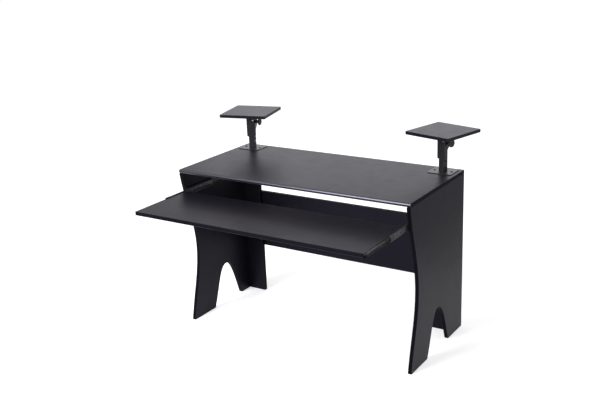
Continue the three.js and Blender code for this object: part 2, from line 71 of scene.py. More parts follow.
# The Mix node's colour sockets go by number, because other sockets share their names.
MIX_FIRST, MIX_SECOND, MIX_RESULT = 6, 7, 2
Point = tuple[float, float]
Colour = tuple[float, float, float, float]


class Side(Enum):
    """The two sides of the desk, seen by the person who sits at it."""

    LEFT = -1
    RIGHT = 1

    @property
    def word(self) -> str:
        """The side's word in node and body names."""
        return self.name.lower()


class Plane(Enum):
    """The planes that outlines are drawn in, and the way each is pushed out."""

    YZ = ((0, 1, 0), (0, 0, 1), (1, 0, 0))
    XZ = ((1, 0, 0), (0, 0, 1), (0, -1, 0))
    XY = ((1, 0, 0), (0, 1, 0), (0, 0, 1))

    @property
    def matrix(self) -> Matrix:
        """The turn from (across, up, out) to (x, y, z)."""
        return Matrix(self.value).transposed().to_4x4()


class Work(Enum):
    """What a shape's tools do to it."""

    CUT = "DIFFERENCE"
    UNITE = "UNION"
    CROSS = "INTERSECT"


class Cage(Enum):
    """The two ball cages of a runner."""

    OUTER = "outer"
    INNER = "inner"


class Socket:
    """A node's output, with the operators that a material's sums use."""

    def __init__(self, sheet: NodeSheet, output: bpy.types.NodeSocket) -> None:
        """Wraps an output of a node on a sheet."""
        self.sheet = sheet
        self.output = output

    def sibling(self, name: str) -> Socket:
        """Another output of the same node."""
        return Socket(self.sheet, self.output.node.outputs[name])

    def __add__(self, other: Socket | float) -> Socket:
        """Adds a number or another output."""
        return self.sheet.maths("ADD", self, other)

    def __radd__(self, other: float) -> Socket:
        """Adds this output to a number."""
        return self.sheet.maths("ADD", other, self)

    def __sub__(self, other: Socket | float) -> Socket:
        """Takes away a number or another output."""
        return self.sheet.maths("SUBTRACT", self, other)

    def __rsub__(self, other: float) -> Socket:
        """Takes this output away from a number."""
        return self.sheet.maths("SUBTRACT", other, self)

    def __mul__(self, other: Socket | float) -> Socket:
        """Multiplies by a number or another output."""
        return self.sheet.maths("MULTIPLY", self, other)

    def __rmul__(self, other: float) -> Socket:
        """Multiplies a number by this output."""
        return self.sheet.maths("MULTIPLY", other, self)


class NodeSheet:
    """A node tree that is filled by calls, for materials, the world and geometry."""

    def __init__(self, tree: bpy.types.NodeTree) -> None:
        """Takes a tree to fill and empties it."""
        self.tree = tree
        tree.nodes.clear()

    def add(
        self,
        kind: str,
        sockets: Mapping[str | int, Any] | None = None,
        out: str | int = 0,
        **settings: Any,
    ) -> Socket:
        """Adds a node, first its settings and then its sockets.

        Args:
            kind: The node's type.
            sockets: Values or outputs for its inputs, by name or number.
            out: The output to hand back, by name or number.
            **settings: The node's own settings.

        Returns:
            The chosen output, or the node's first input where it has no output.
        """
        node = self.tree.nodes.new(kind)
        for name, value in settings.items():
            setattr(node, name, value)
        for name, value in (sockets or {}).items():
            self.feed(node.inputs[name], value)
        return Socket(self, node.outputs[out] if node.outputs else node.inputs[0])

    def feed(self, target: bpy.types.NodeSocket, value: Any) -> None:
        """Links an output to an input, or sets the input's value.

        Args:
            target: The input.
            value: An output or a plain value.
        """
        if isinstance(value, Socket):
            self.tree.links.new(value.output, target)
        else:
            target.default_value = value

    def maths(self, operation: str, first: Socket | float, second: Socket | float) -> Socket:
        """Adds a Math node for one operation on two operands."""
        return self.add("ShaderNodeMath", {0: first, 1: second}, operation=operation)

    def blend(self, factor: Socket | float, first: Any, second: Any) -> Socket:
        """Mixes two colours: a factor of 0 gives the first and 1 the second."""
        given = {"Factor": factor, MIX_FIRST: first, MIX_SECOND: second}
        return self.add("ShaderNodeMix", given, out=MIX_RESULT, data_type="RGBA")

    def ramp(self, factor: Socket, low: float, high: float) -> Socket:
        """Stretches what is between low and high to 0 to 1, with soft ends."""
        given = {"Value": factor, "From Min": low, "From Max": high}
        return self.add("ShaderNodeMapRange", given, interpolation_type="SMOOTHSTEP")

    def grain(self, scale: float, detail: float, stretch: Sequence[float] = (1, 1, 1)) -> Socket:
        """Adds a noise that is fixed to the piece.

        Args:
            scale: How many grains there are in a metre.
            detail: How many finer layers it has.
            stretch: How much denser it is along each axis.

        Returns:
            The noise, from 0 to 1.
        """
        place = self.add("ShaderNodeTexCoord", out="Object")
        if tuple(stretch) != (1, 1, 1):
            place = self.add("ShaderNodeMapping", {"Vector": place, "Scale": stretch})
        given = {
            "Vector": place, "Scale": scale, "Detail": detail, "Roughness": GRAIN_ROUGHNESS}
        return self.add("ShaderNodeTexNoise", given, out="Fac")


def new_material(name: str) -> tuple[bpy.types.Material, NodeSheet]:
    """Adds an empty node material.

    Args:
        name: Its name.

    Returns:
        The material and its node sheet.
    """
    made = bpy.data.materials.new(name)
    made.use_nodes = True
    return made, NodeSheet(made.node_tree)


@dataclass(frozen=True)
class Patches:
    """Soft patches over a finish: how fine they are and the part of their noise that shows."""

    scale: float
    detail: float
    low: float
    high: float

    def on(self, sheet: NodeSheet) -> Socket:
        """Adds the patches to a material."""
        return sheet.ramp(sheet.grain(self.scale, self.detail), self.low, self.high)


@dataclass(frozen=True)
class Relief:
    """How a fine relief stands out: its strength, and its depth in metres."""

    strength: float
    depth: float

    def of(self, sheet: NodeSheet, height: Socket) -> Socket:
        """Turns a height into a bumped normal."""
        given = {"Strength": self.strength, "Distance": self.depth, "Height": height}
        return sheet.add("ShaderNodeBump", given)


@dataclass(frozen=True)
class Finish(ABC):
    """A finish: its name, its material slot in the record and its base colour."""

    name: str
    slot: str
    colour: Colour

    @abstractmethod
    def dress(self, sheet: NodeSheet) -> dict[str, Any]:
        """Builds what feeds the surface shader.

        Args:
            sheet: The material's node sheet.

        Returns:
            Values and outputs for the shader's inputs.
        """

    def material(self) -> bpy.types.Material:
        """The finish's material, made once.

        Returns:
            The material.
        """
        known = bpy.data.materials.get(self.name)
        if known is not None:
            return known
        made, sheet = new_material(self.name)
        made.diffuse_color = self.colour
        surface = sheet.add("ShaderNodeBsdfPrincipled", self.dress(sheet))
        sheet.add("ShaderNodeOutputMaterial", {"Surface": surface})
        return made


@dataclass(frozen=True)
class Laminate(Finish):
    """Black satin laminate: a fine pebble, faint cloudiness and a cool sheen."""

    pale: Colour = (0.0080, 0.0072, 0.0098, 1)
    pebble_scale: float = 620
    relief: Relief = Relief(0.22, 0.00010)
    cloud: Patches = Patches(5, 3, 0.35, 0.68)
    cloud_share: float = 0.6
    handling: Patches = Patches(17, 5, 0.42, 0.75)
    roughness: float = 0.40
    roughness_spread: float = 0.03
    shine: float = 0.125
    tint: Colour = (0.72, 0.66, 1.0, 1)

    def dress(self, sheet: NodeSheet) -> dict[str, Any]:
        """Builds the laminate's colour, roughness and pebble.

        Args:
            sheet: The material's node sheet.

        Returns:
            Values and outputs for the shader's inputs.
        """
        pebble = sheet.grain(self.pebble_scale, FINE_DETAIL)
        mottle = self.cloud.on(sheet) * self.cloud_share + pebble * (1 - self.cloud_share)
        return {
            "Base Color": sheet.blend(mottle, self.colour, self.pale),
            "Roughness": self.roughness + self.handling.on(sheet) * self.roughness_spread,
            "Specular IOR Level": self.shine,
            "Specular Tint": self.tint,
            "Normal": self.relief.of(sheet, pebble),
        }


@dataclass(frozen=True)
class PowderCoat(Finish):
    """Black powder coat: a soft orange peel with finer specks in it."""

    pale: Colour = (0.0105, 0.0102, 0.0112, 1)
    peel_scale: float = 260
    peel_detail: float = 1
    peel_range: Point = (0.3, 0.7)
    peel_share: float = 0.7
    speck_density: float = 6
    relief: Relief = Relief(0.3, 0.00009)
    roughness: float = 0.36
    roughness_spread: float = 0.06
    shine: float = 0.36

    def dress(self, sheet: NodeSheet) -> dict[str, Any]:
        """Builds the coat's colour, roughness and peel.

        Args:
            sheet: The material's node sheet.

        Returns:
            Values and outputs for the shader's inputs.
        """
        peel = sheet.grain(self.peel_scale, self.peel_detail)
        speck = sheet.grain(self.peel_scale * self.speck_density, FINE_DETAIL)
        height = peel * self.peel_share + speck * (1 - self.peel_share)
        uneven = sheet.ramp(peel, *self.peel_range)
        return {
            "Base Color": sheet.blend(speck, self.colour, self.pale),
            "Roughness": self.roughness + uneven * self.roughness_spread,
            "Specular IOR Level": self.shine,
            "Normal": self.relief.of(sheet, height),
        }


@dataclass(frozen=True)
class PlatedSteel(Finish):
    """Rolled and plated steel, with streaks along the length of the runner.

    What lies in front of a given depth along Y, in metres, is painted black as painted shade on the
    member's front end.
    """

    pale: Colour = (0.155, 0.156, 0.164, 1)
    # black is the colour of the painted shade at the front end.
    black: Colour = (0.004, 0.004, 0.005, 1)
    painted_shade_until: float = -1.0
    black_edge: float = 0.001
    streak_scale: float = 70
    streak_detail: float = 3
    streaks: tuple[float, float, float] = (9, 0.25, 9)
    streak_spread: float = 0.08
    bloom: Patches = Patches(38, 4, 0.4, 0.7)
    bloom_share: float = 0.6
    bloom_spread: float = 0.05
    relief: Relief = Relief(0.12, 0.00006)
    roughness: float = 0.30

    def dress(self, sheet: NodeSheet) -> dict[str, Any]:
        """Builds the plating's colour, roughness and streaks.

        Args:
            sheet: The material's node sheet.

        Returns:
            Values and outputs for the shader's inputs.
        """
        streak = sheet.grain(self.streak_scale, self.streak_detail, self.streaks)
        bloom = self.bloom.on(sheet)
        # Painted shade: in front of the given depth along Y the metal is blended to black.
        place = sheet.add("ShaderNodeTexCoord", out="Object")
        depth = sheet.add("ShaderNodeSeparateXYZ", {0: place}, out="Y")
        end, soft = self.painted_shade_until, self.black_edge
        behind_painted_shade = sheet.ramp(depth, end - soft, end + soft)
        mottle = bloom * self.bloom_share + streak * (1 - self.bloom_share)
        metal = sheet.blend(mottle, self.colour, self.pale)
        return {
            "Base Color": sheet.blend(behind_painted_shade, self.black, metal),
            "Metallic": 1.0,
            "Roughness": self.roughness + streak * self.streak_spread + bloom * self.bloom_spread,
            "Normal": self.relief.of(sheet, streak),
        }


@dataclass(frozen=True)
class MouldedPlastic(Finish):
    """Matt black plastic with a fine spark-eroded grain."""

    pale: Colour = (0.0085, 0.0082, 0.0095, 1)
    grain_scale: float = 1500
    relief: Relief = Relief(0.25, 0.00005)
    touch: Patches = Patches(60, 3, 0.45, 0.7)
    touch_polish: float = 0.08
    roughness: float = 0.5
    shine: float = 0.10

    def dress(self, sheet: NodeSheet) -> dict[str, Any]:
        """Builds the plastic's colour, roughness and grain.

        Args:
            sheet: The material's node sheet.

        Returns:
            Values and outputs for the shader's inputs.
        """
        fine = sheet.grain(self.grain_scale, FINE_DETAIL)
        return {
            "Base Color": sheet.blend(fine, self.colour, self.pale),
            "Roughness": self.roughness - self.touch.on(sheet) * self.touch_polish,
            "Specular IOR Level": self.shine,
            "Normal": self.relief.of(sheet, fine),
        }


BOARD = Laminate("black_laminate", "board", (0.0056, 0.0050, 0.0070, 1))
NOSE = Laminate(
    "black_satin_nose", "board", (0.0058, 0.0052, 0.0070, 1),
    roughness=0.31, shine=0.85, tint=(0.85, 0.87, 1.0, 1))
EDGING = Laminate(
    "black_edge_band", "board", (0.0032, 0.0029, 0.0042, 1), (0.0046, 0.0042, 0.0058, 1),
    pebble_scale=900, roughness=0.46, shine=0.03)
COATED = PowderCoat("black_powder_coat", "powder_coated_steel", (0.0058, 0.0055, 0.0063, 1))
# Zinc plating coloured far darker than bright zinc: painted shade on the runners' middle members
# and their screws.
SHADED_ZINC = PlatedSteel("bright_zinc", "zinc_steel", (0.085, 0.085, 0.090, 1))
NICKEL = PlatedSteel("bright_nickel", "zinc_steel", (0.52, 0.52, 0.53, 1), (0.66, 0.66, 0.67, 1))
# The inner members' front ends are painted black as painted shade.
DARK = PlatedSteel(
    "dark_plate", "dark_steel", (0.048, 0.048, 0.052, 1), (0.078, 0.078, 0.084, 1),
    roughness=0.36, painted_shade_until=-0.469)
BEARING = PlatedSteel(
    "bearing_steel", "ball_steel", (0.56, 0.57, 0.58, 1), streaks=(1, 1, 1), roughness=0.18)
PLASTIC = MouldedPlastic("black_plastic", "black_plastic", (0.0050, 0.0048, 0.0056, 1))


class Shape:
    """A closed mesh in the making, in millimetres."""

    def __init__(self, mesh: bmesh.types.BMesh) -> None:
        """Keeps a mesh that is in millimetres."""
        self.mesh = mesh

    @classmethod
    def prism(cls, outline: Sequence[Point], depth: float, plane: Plane) -> Shape:
        """Pushes an outline out of its plane.

        Args:
            outline: The outline's points, in order.
            depth: How far it is pushed out.
            plane: The plane it is drawn in.

        Returns:
            The prism.
        """
        mesh = bmesh.new()
        face = mesh.faces.new([mesh.verts.new((a, b, 0)) for a, b in outline])
        pushed = bmesh.ops.extrude_face_region(mesh, geom=[face])
        moved = [v for v in pushed["geom"] if isinstance(v, bmesh.types.BMVert)]
        bmesh.ops.translate(mesh, verts=moved, vec=(0, 0, depth))
        bmesh.ops.recalc_face_normals(mesh, faces=mesh.faces)
        return cls(mesh).place(plane.matrix)

    @classmethod
    def block(
        cls, width: float, height: float, corner: float, depth: float,
        plane: Plane = Plane.XY, steps: int = 8,
    ) -> Shape:
        """Pushes a rounded rectangle about zero out of its plane."""
        return cls.prism(Outline.rectangle(width, height, corner, steps), depth, plane)

    @classmethod
    def drum(cls, radius: float, foot: float, top: float, steps: int = 32) -> Shape:
        """Turns a plain cylinder about the Z axis."""
        return cls.turned([(0, foot), (radius, foot), (radius, top), (0, top)], steps)

    @classmethod
    def turned(cls, profile: Sequence[Point], steps: int) -> Shape:
        """Turns a (radius, height) profile about Z. Both its ends have radius 0."""
        return cls.lobed(profile, steps, lambda _angle: 0.0)

    @classmethod
    def lobed(
        cls,
        profile: Sequence[Point],
        steps: int,
        hollow: Callable[[float], float],
        reach: float = math.inf,
    ) -> Shape:
        """Turns a profile about the Z axis, with hollows in its outermost part.

        Args:
            profile: (radius, height) from the foot up, with a radius of 0 at both ends.
            steps: How many faces go round.
            hollow: How deep the rim is drawn in at an angle.
            reach: The radius from which the hollows start.

        Returns:
            The lobed shape.
        """
        mesh = bmesh.new()
        rings: list[list[bmesh.types.BMVert]] = []
        for radius, height in profile:
            if radius == 0:
                rings.append([mesh.verts.new((0, 0, height))])
                continue
            ring = []
            for step in range(steps):
                angle = 2 * math.pi * step / steps
                drawn = radius - (hollow(angle) if radius > reach else 0)
                spot = (drawn * math.cos(angle), drawn * math.sin(angle), height)
                ring.append(mesh.verts.new(spot))
            rings.append(ring)
        for low, high in zip(rings, rings[1:]):
            for step in range(steps):
                after = (step + 1) % steps
                corners = ((low, step), (low, after), (high, after), (high, step))
                loop = [circle[i % len(circle)] for circle, i in corners]
                mesh.faces.new(list(dict.fromkeys(loop)))
        bmesh.ops.recalc_face_normals(mesh, faces=mesh.faces)
        return cls(mesh)

    def place(self, matrix: Matrix) -> Shape:
        """Moves or turns the shape by a matrix and hands it back."""
        bmesh.ops.transform(self.mesh, matrix=matrix, verts=self.mesh.verts)
        return self

    def move(self, x: float, y: float, z: float) -> Shape:
        """Moves the shape without a turn."""
        return self.place(Matrix.Translation((x, y, z)))

    def turn(self, angle: float, axis: str) -> Shape:
        """Turns the shape about an axis through zero."""
        return self.place(Matrix.Rotation(angle, 4, axis))

    def join(self, *others: Shape) -> Shape:
        """Adds other shapes beside this one.

        Args:
            *others: The shapes to add. They are used up.

        Returns:
            This shape.
        """
        for other in others:
            loose = other.to_mesh("loose", 1)
            self.mesh.from_mesh(loose)
            bpy.data.meshes.remove(loose)
        return self

    def worked(self, work: Work, *tools: Shape) -> Shape:
        """Cuts, joins or crosses this shape with others.

        Args:
            work: What they do to it.
            *tools: The other shapes. They are used up.

        Returns:
            The new shape.
        """
        block = Shape.held(self.to_mesh("block", 1))
        held = [Shape.held(tool.to_mesh("tool", 1)) for tool in tools]
        for tool in held:
            step = block.modifiers.new("work", "BOOLEAN")
            step.operation = work.value
            step.object = tool
            step.solver = "EXACT"
        result = bmesh.new()
        evaluated = block.evaluated_get(bpy.context.evaluated_depsgraph_get())
        result.from_mesh(evaluated.to_mesh())
        evaluated.to_mesh_clear()
        for obj in (block, *held):
            data = obj.data
            bpy.data.objects.remove(obj)
            bpy.data.meshes.remove(data)
        return Shape(result)

    @staticmethod
    def held(mesh: bpy.types.Mesh) -> bpy.types.Object:
        """Puts a mesh in the scene for a moment, as an object.

        Args:
            mesh: The mesh.

        Returns:
            The object.
        """
        obj = bpy.data.objects.new(mesh.name, mesh)
        bpy.context.scene.collection.objects.link(obj)
        bpy.context.view_layer.update()
        return obj

    def to_mesh(self, name: str, scale: float = MM) -> bpy.types.Mesh:
        """Ends the making and hands over a plain mesh.

        Args:
            name: The mesh's name.
            scale: What the shape is scaled by.

        Returns:
            The mesh.
        """
        if scale != 1:
            self.place(Matrix.Scale(scale, 4))
        mesh = bpy.data.meshes.new(name)
        self.mesh.to_mesh(mesh)
        self.mesh.free()
        return mesh

    def piece(
        self, node: str, form: str, finish: Finish, body: str,
        ease: float = 0.0, steps: int = 3, **rest: Any,
    ) -> Piece:
        """Hands over the piece that stands for a node and is named after it."""
        mesh = self.to_mesh(node)
        return Piece(f"{node}_{form}", mesh, finish, body, (node,), ease, steps, **rest)


class Outline:
    """Outlines that several pieces are drawn with, in millimetres."""

    @staticmethod
    def arc(centre: Point, radius: float, start: float, end: float, steps: int) -> list[Point]:
        """The points of an arc.

        Args:
            centre: Its centre.
            radius: Its radius.
            start: The angle it starts at.
            end: The angle it ends at.
            steps: How many steps it takes.

        Returns:
            The points, both ends included.
        """
        angles = [start + (end - start) * i / steps for i in range(steps + 1)]
        x, z = centre
        return [(x + radius * math.cos(a), z + radius * math.sin(a)) for a in angles]

    @classmethod
    def circle(cls, radius: float, steps: int) -> list[Point]:
        """The points of a circle about zero."""
        return cls.arc((0, 0), radius, 0, 2 * math.pi, steps)[:-1]

    @staticmethod
    def curve(start: Point, first: Point, second: Point, end: Point, steps: int) -> list[Point]:
        """The points of a cubic curve, without its start.

        Args:
            start: Where it starts.
            first: The point it leaves towards.
            second: The point it arrives from.
            end: Where it ends.
            steps: How many steps it takes.

        Returns:
            The points, the end included.
        """
        points = []
        for i in range(1, steps + 1):
            t = i / steps
            s = 1 - t
            weights = (s * s * s, 3 * s * s * t, 3 * s * t * t, t * t * t)
            ends = (start, first, second, end)
            points.append(tuple(sum(w * p[k] for w, p in zip(weights, ends)) for k in (0, 1)))
        return points

    @classmethod
    def swept(
        cls, start: Point, end: Point, handles: tuple[Point, Point], steps: int
    ) -> list[Point]:
        """The points of a cubic curve whose handles are shares of its way.

        Args:
            start: Where it starts.
            end: Where it ends.
            handles: How far along each handle is, across and up.
            steps: How many steps it takes.

        Returns:
            The points, without the start and with the end.
        """
        first, second = (
            tuple(a + (b - a) * share for a, b, share in zip(start, end, handle))
            for handle in handles)
        return cls.curve(start, first, second, end, steps)

    @classmethod
    def rectangle(cls, width: float, height: float, corner: float, steps: int = 8) -> list[Point]:
        """A rectangle about zero with rounded corners.

        Args:
            width: Its width.
            height: Its height.
            corner: The radius of its corners.
            steps: How many steps each corner takes.

        Returns:
            The points.
        """
        a, b = width / 2 - corner, height / 2 - corner
        points: list[Point] = []
        for turn, centre in enumerate(((a, b), (-a, b), (-a, -b), (a, -b))):
            points += cls.arc(centre, corner, turn * QUARTER, (turn + 1) * QUARTER, steps)
        return points

    @staticmethod
    def bend(start: Vector, corner: Vector, end: Vector, steps: int) -> list[Vector]:
        """The points that round a corner.

        Args:
            start: Where the rounding starts.
            corner: The corner itself.
            end: Where the rounding ends.
            steps: How many steps it takes.

        Returns:
            The points, both ends included.
        """
        return [
            start * (1 - t) ** 2 + corner * 2 * t * (1 - t) + end * t * t
            for t in (step / steps for step in range(steps + 1))]

    @classmethod
    def eased(
        cls, points: Sequence[Point], radius: float, sharp: float = 0.5, steps: int = 5
    ) -> list[Point]:
        """Rounds the corners of an outline and leaves its curves alone.

        Args:
            points: The outline.
            radius: How far from a corner the rounding starts.
            sharp: The least turn, in radians, that counts as a corner.
            steps: How many steps each corner takes.

        Returns:
            The outline with rounded corners.
        """
        count = len(points)
        result: list[Point] = []
        for i, point in enumerate(points):
            here = Vector(point)
            back = Vector(points[i - 1]) - here
            ahead = Vector(points[(i + 1) % count]) - here
            if math.pi - back.angle(ahead) < sharp:
                result.append(tuple(here))
                continue
            start = here + back.normalized() * min(radius, back.length * 0.5)
            end = here + ahead.normalized() * min(radius, ahead.length * 0.5)
            result += [tuple(point) for point in cls.bend(start, here, end, steps)]
        return result

    @classmethod
    def folded(
        cls, line: Sequence[Point], sheet: float, bend: float, steps: int = 6
    ) -> list[Point]:
        """The outline of a folded sheet.

        Args:
            line: The middle line of the metal, with square corners.
            sheet: The metal's thickness.
            bend: How far from a corner the bend starts.
            steps: How many steps each bend takes.

        Returns:
            The outline.
        """
        middle: list[Vector] = [Vector(line[0])]
        for before, corner, after in zip(line, line[1:], line[2:]):
            here = Vector(corner)
            start = here + (Vector(before) - here).normalized() * bend
            end = here + (Vector(after) - here).normalized() * bend
            middle += cls.bend(start, here, end, steps)
        middle.append(Vector(line[-1]))
        headings = [(b - a).normalized() for a, b in zip(middle, middle[1:])]
        left: list[Point] = []
        right: list[Point] = []
        for i, point in enumerate(middle):
            before = headings[max(i - 1, 0)]
            along = (before + headings[min(i, len(headings) - 1)]).normalized()
            reach = sheet / 2 / along.dot(before)
            left.append((point.x - along.y * reach, point.y + along.x * reach))
            right.append((point.x + along.y * reach, point.y - along.x * reach))
        return left + right[::-1]


@dataclass
class Piece:
    """A finished piece: its mesh, finish and body, and the solids it stands for.

    Where its faces differ, dressed tells each face's finish from its normal.
    """

    name: str
    mesh: bpy.types.Mesh
    finish: Finish
    body: str
    stands_for: tuple[str, ...] = ()
    ease: float = 0.0
    ease_steps: int = 3
    crease: float = 35.0
    dressed: Callable[[Vector], Finish] | None = None


class Workshop:
    """Turns pieces into objects that ride on the frame."""

    def __init__(self) -> None:
        """Starts with no pieces made."""
        self.made: list[bpy.types.Object] = []

    def finish(self, piece: Piece) -> bpy.types.Object:
        """Eases a piece's edges, dresses it and lets it ride.

        Args:
            piece: The piece.

        Returns:
            Its object.
        """
        obj = Shape.held(piece.mesh)
        piece.mesh.shade_smooth()
        piece.mesh.set_sharp_from_angle(angle=math.radians(piece.crease))
        if piece.ease > 0:
            bevel = obj.modifiers.new("ease", "BEVEL")
            bevel.width = piece.ease * MM
            bevel.segments = piece.ease_steps
            bevel.limit_method = "ANGLE"
            bevel.angle_limit = math.radians(piece.crease)
            bevel.miter_outer = "MITER_ARC"
            bevel.harden_normals = True
            obj = self.plain(obj)
        obj.name = piece.name
        obj.data.name = piece.name
        obj.data.materials.clear()
        obj.data.materials.append(piece.finish.material())
        if piece.dressed is not None:
            self.dress_faces(obj.data, piece)
        if piece.stands_for:
            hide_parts(*piece.stands_for)
        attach(obj, piece.body)
        self.made.append(obj)
        LOG.info("%s rides on %s in %s", piece.name, piece.body, piece.finish.name)
        return obj

    @staticmethod
    def dress_faces(mesh: bpy.types.Mesh, piece: Piece) -> None:
        """Gives each face the finish that its normal asks for.

        Args:
            mesh: The finished mesh, with the piece's own finish in its first slot.
            piece: The piece.
        """
        finishes = [piece.finish]
        for face in mesh.polygons:
            finish = piece.dressed(face.normal)
            if finish not in finishes:
                finishes.append(finish)
                mesh.materials.append(finish.material())
            face.material_index = finishes.index(finish)

    @staticmethod
    def plain(obj: bpy.types.Object) -> bpy.types.Object:
        """Replaces an object's mesh by what its modifiers make of it.

        Args:
            obj: The object.

        Returns:
            The same object, with no modifiers.
        """
        bpy.context.view_layer.update()
        graph = bpy.context.evaluated_depsgraph_get()
        mesh = bpy.data.meshes.new_from_object(obj.evaluated_get(graph), depsgraph=graph)
        before = obj.data
        obj.modifiers.clear()
        obj.data = mesh
        bpy.data.meshes.remove(before)
        return obj


class Assembly(ABC):
    """A sub-assembly that builds its own pieces."""

    @abstractmethod
    def pieces(self) -> Iterator[Piece]:
        """Builds the pieces one by one."""


class Scattered(ABC):
    """Small parts that geometry nodes make and put on the points of a mesh."""

    finish: Finish
    tree_name: str

    @abstractmethod
    def sizes(self) -> dict[str, float]:
        """The part's sizes in millimetres, by their names in the tree."""

    @abstractmethod
    def part(self, sheet: NodeSheet, inputs: Mapping[str, Socket]) -> Socket:
        """Adds the nodes that make one part about zero.

        Args:
            sheet: The tree's node sheet.
            inputs: The tree's inputs, by name.

        Returns:
            The part's mesh.
        """

    def tree(self) -> bpy.types.NodeTree:
        """The tree that puts a part on each point and turns it to the point's aim.

        Returns:
            The tree, made once. Its inputs are sizes in metres and the material.
        """
        known = bpy.data.node_groups.get(self.tree_name)
        if known is not None:
            return known
        tree = bpy.data.node_groups.new(self.tree_name, "GeometryNodeTree")
        given = {"Places": "Geometry", **dict.fromkeys(self.sizes(), "Float"), "Finish": "Material"}
        for name, kind in given.items():
            tree.interface.new_socket(name, in_out="INPUT", socket_type=f"NodeSocket{kind}")
        tree.interface.new_socket("Parts", in_out="OUTPUT", socket_type="NodeSocketGeometry")
        sheet = NodeSheet(tree)
        first = sheet.add("NodeGroupInput")
        inputs = {name: first.sibling(name) for name in given}
        aim = sheet.add(
            "GeometryNodeInputNamedAttribute", {"Name": "aim"}, data_type="FLOAT_VECTOR")
        placed = sheet.add("GeometryNodeInstanceOnPoints", {
            "Points": inputs["Places"],
            "Instance": self.part(sheet, inputs),
            "Rotation": sheet.add("FunctionNodeAlignRotationToVector", {"Vector": aim}, axis="Z"),
        })
        real = sheet.add("GeometryNodeRealizeInstances", {"Geometry": placed})
        dressed = sheet.add(
            "GeometryNodeSetMaterial", {"Geometry": real, "Material": inputs["Finish"]})
        sheet.add("NodeGroupOutput", {"Parts": dressed})
        return tree

    def piece(
        self, name: str, body: str, places: Sequence[Vector], aim: Vector, **rest: Any
    ) -> Piece:
        """Builds a group of parts on one body.

        Args:
            name: The group's name.
            body: The body it rides on.
            places: Where each part stands, in millimetres.
            aim: Which way they point.
            **rest: What else the piece is given.

        Returns:
            The piece.
        """
        mesh = bpy.data.meshes.new(name)
        mesh.from_pydata([tuple(place * MM) for place in places], [], [])
        aims = mesh.attributes.new("aim", "FLOAT_VECTOR", "POINT")
        aims.data.foreach_set("vector", [*aim] * len(places))
        obj = Shape.held(mesh)
        modifier = obj.modifiers.new("parts", "NODES")
        modifier.node_group = self.tree()
        values = {size: value * MM for size, value in self.sizes().items()}
        values["Finish"] = self.finish.material()
        for item in modifier.node_group.interface.items_tree:
            if item.in_out == "INPUT" and item.name in values:
                modifier[item.identifier] = values[item.name]
        made = Workshop.plain(obj).data
        bpy.data.objects.remove(obj)
        return Piece(name, made, self.finish, body, **rest)


@dataclass(frozen=True)
class Screws(Scattered):
    """Round-headed screws with a driver recess.

    The crown is what the dome's steps leave of the head's radius.
    """

    head_radius: float = 5.0
    head_height: float = 3.0
    recess_radius: float = 2.3
    recess_depth: float = 1.6
    finish: Finish = COATED
    tree_name: str = "round_headed_screws"
    drum_share: float = 0.6
    dome: tuple[Point, ...] = ((0.20, 0.93), (0.16, 0.88), (0.08, 0.86))
    crown: float = 0.704
    recess_taper: float = 0.82
    vertices: int = 36

    def sizes(self) -> dict[str, float]:
        """The screw's sizes, by their names in the tree.

        Returns:
            Millimetres for each name.
        """
        return {
            "Head Radius": self.head_radius,
            "Head Height": self.head_height * self.drum_share,
            "Recess Radius": self.recess_radius,
            "Recess Depth": self.recess_depth,
        }

    def part(self, sheet: NodeSheet, inputs: Mapping[str, Socket]) -> Socket:
        """Adds the nodes of a head: a drum, the steps of its dome and its recess.

        Args:
            sheet: The tree's node sheet.
            inputs: The tree's inputs, by name.

        Returns:
            The head's mesh.
        """
        radius, height = inputs["Head Radius"], inputs["Head Height"]
        shape = sheet.add(
            "GeometryNodeMeshCylinder",
            {"Vertices": self.vertices, "Radius": radius, "Depth": height}, out="Mesh")
        top = shape.sibling("Top")
        for rise, share in self.dome:
            shape, top = self.step(sheet, shape, top, height * rise, share)
        drawn = sheet.maths("DIVIDE", inputs["Recess Radius"], radius * self.crown)
        shape, top = self.step(sheet, shape, top, 0.0, drawn)
        shape, top = self.step(sheet, shape, top, inputs["Recess Depth"] * -1, self.recess_taper)
        lift = sheet.add("ShaderNodeCombineXYZ", {"Z": height * 0.5})
        return sheet.add("GeometryNodeTransform", {"Geometry": shape, "Translation": lift})

    @staticmethod
    def step(
        sheet: NodeSheet, shape: Socket, top: Socket, rise: Socket | float, share: Socket | float
    ) -> tuple[Socket, Socket]:
        """Raises the top face a step and draws it in.

        Args:
            sheet: The tree's node sheet.
            shape: The mesh so far.
            top: The selection of its top face.
            rise: How far the step goes up.
            share: What is left of the face's width.

        Returns:
            The mesh and its new top face.
        """
        given = {"Mesh": shape, "Selection": top, "Offset Scale": rise, "Individual": False}
        pushed = sheet.add("GeometryNodeExtrudeMesh", given, out="Mesh")
        face = pushed.sibling("Top")
        drawn = sheet.add(
            "GeometryNodeScaleElements", {"Geometry": pushed, "Selection": face, "Scale": share})
        return drawn, face


@dataclass(frozen=True)
class BallRow(Scattered):
    """Bearing balls in rows."""

    radius: float = 2.0
    pitch: float = 8.0
    finish: Finish = BEARING
    tree_name: str = "bearing_balls"
    segments: int = 16
    rings: int = 10
    crease: float = 60

    def sizes(self) -> dict[str, float]:
        """The ball's size, by its name in the tree."""
        return {"Radius": self.radius}

    def part(self, sheet: NodeSheet, inputs: Mapping[str, Socket]) -> Socket:
        """Adds the node of a ball.

        Args:
            sheet: The tree's node sheet.
            inputs: The tree's inputs, by name.

        Returns:
            The ball's mesh.
        """
        return sheet.add(
            "GeometryNodeMeshUVSphere",
            {"Segments": self.segments, "Rings": self.rings, "Radius": inputs["Radius"]})

    def rows(self, name: str, body: str, starts: Sequence[Vector], length: float) -> Piece:
        """Builds rows of balls along Y on one body.

        Args:
            name: The rows' name.
            body: The body they ride on.
            starts: The centre of each row's first ball.
            length: How long each row is.

        Returns:
            The piece.
        """
        count = int(length // self.pitch) + 1
        places = [start + Vector((0, i * self.pitch, 0)) for start in starts for i in range(count)]
        return self.piece(name, body, places, Vector((0, 0, 1)), crease=self.crease)


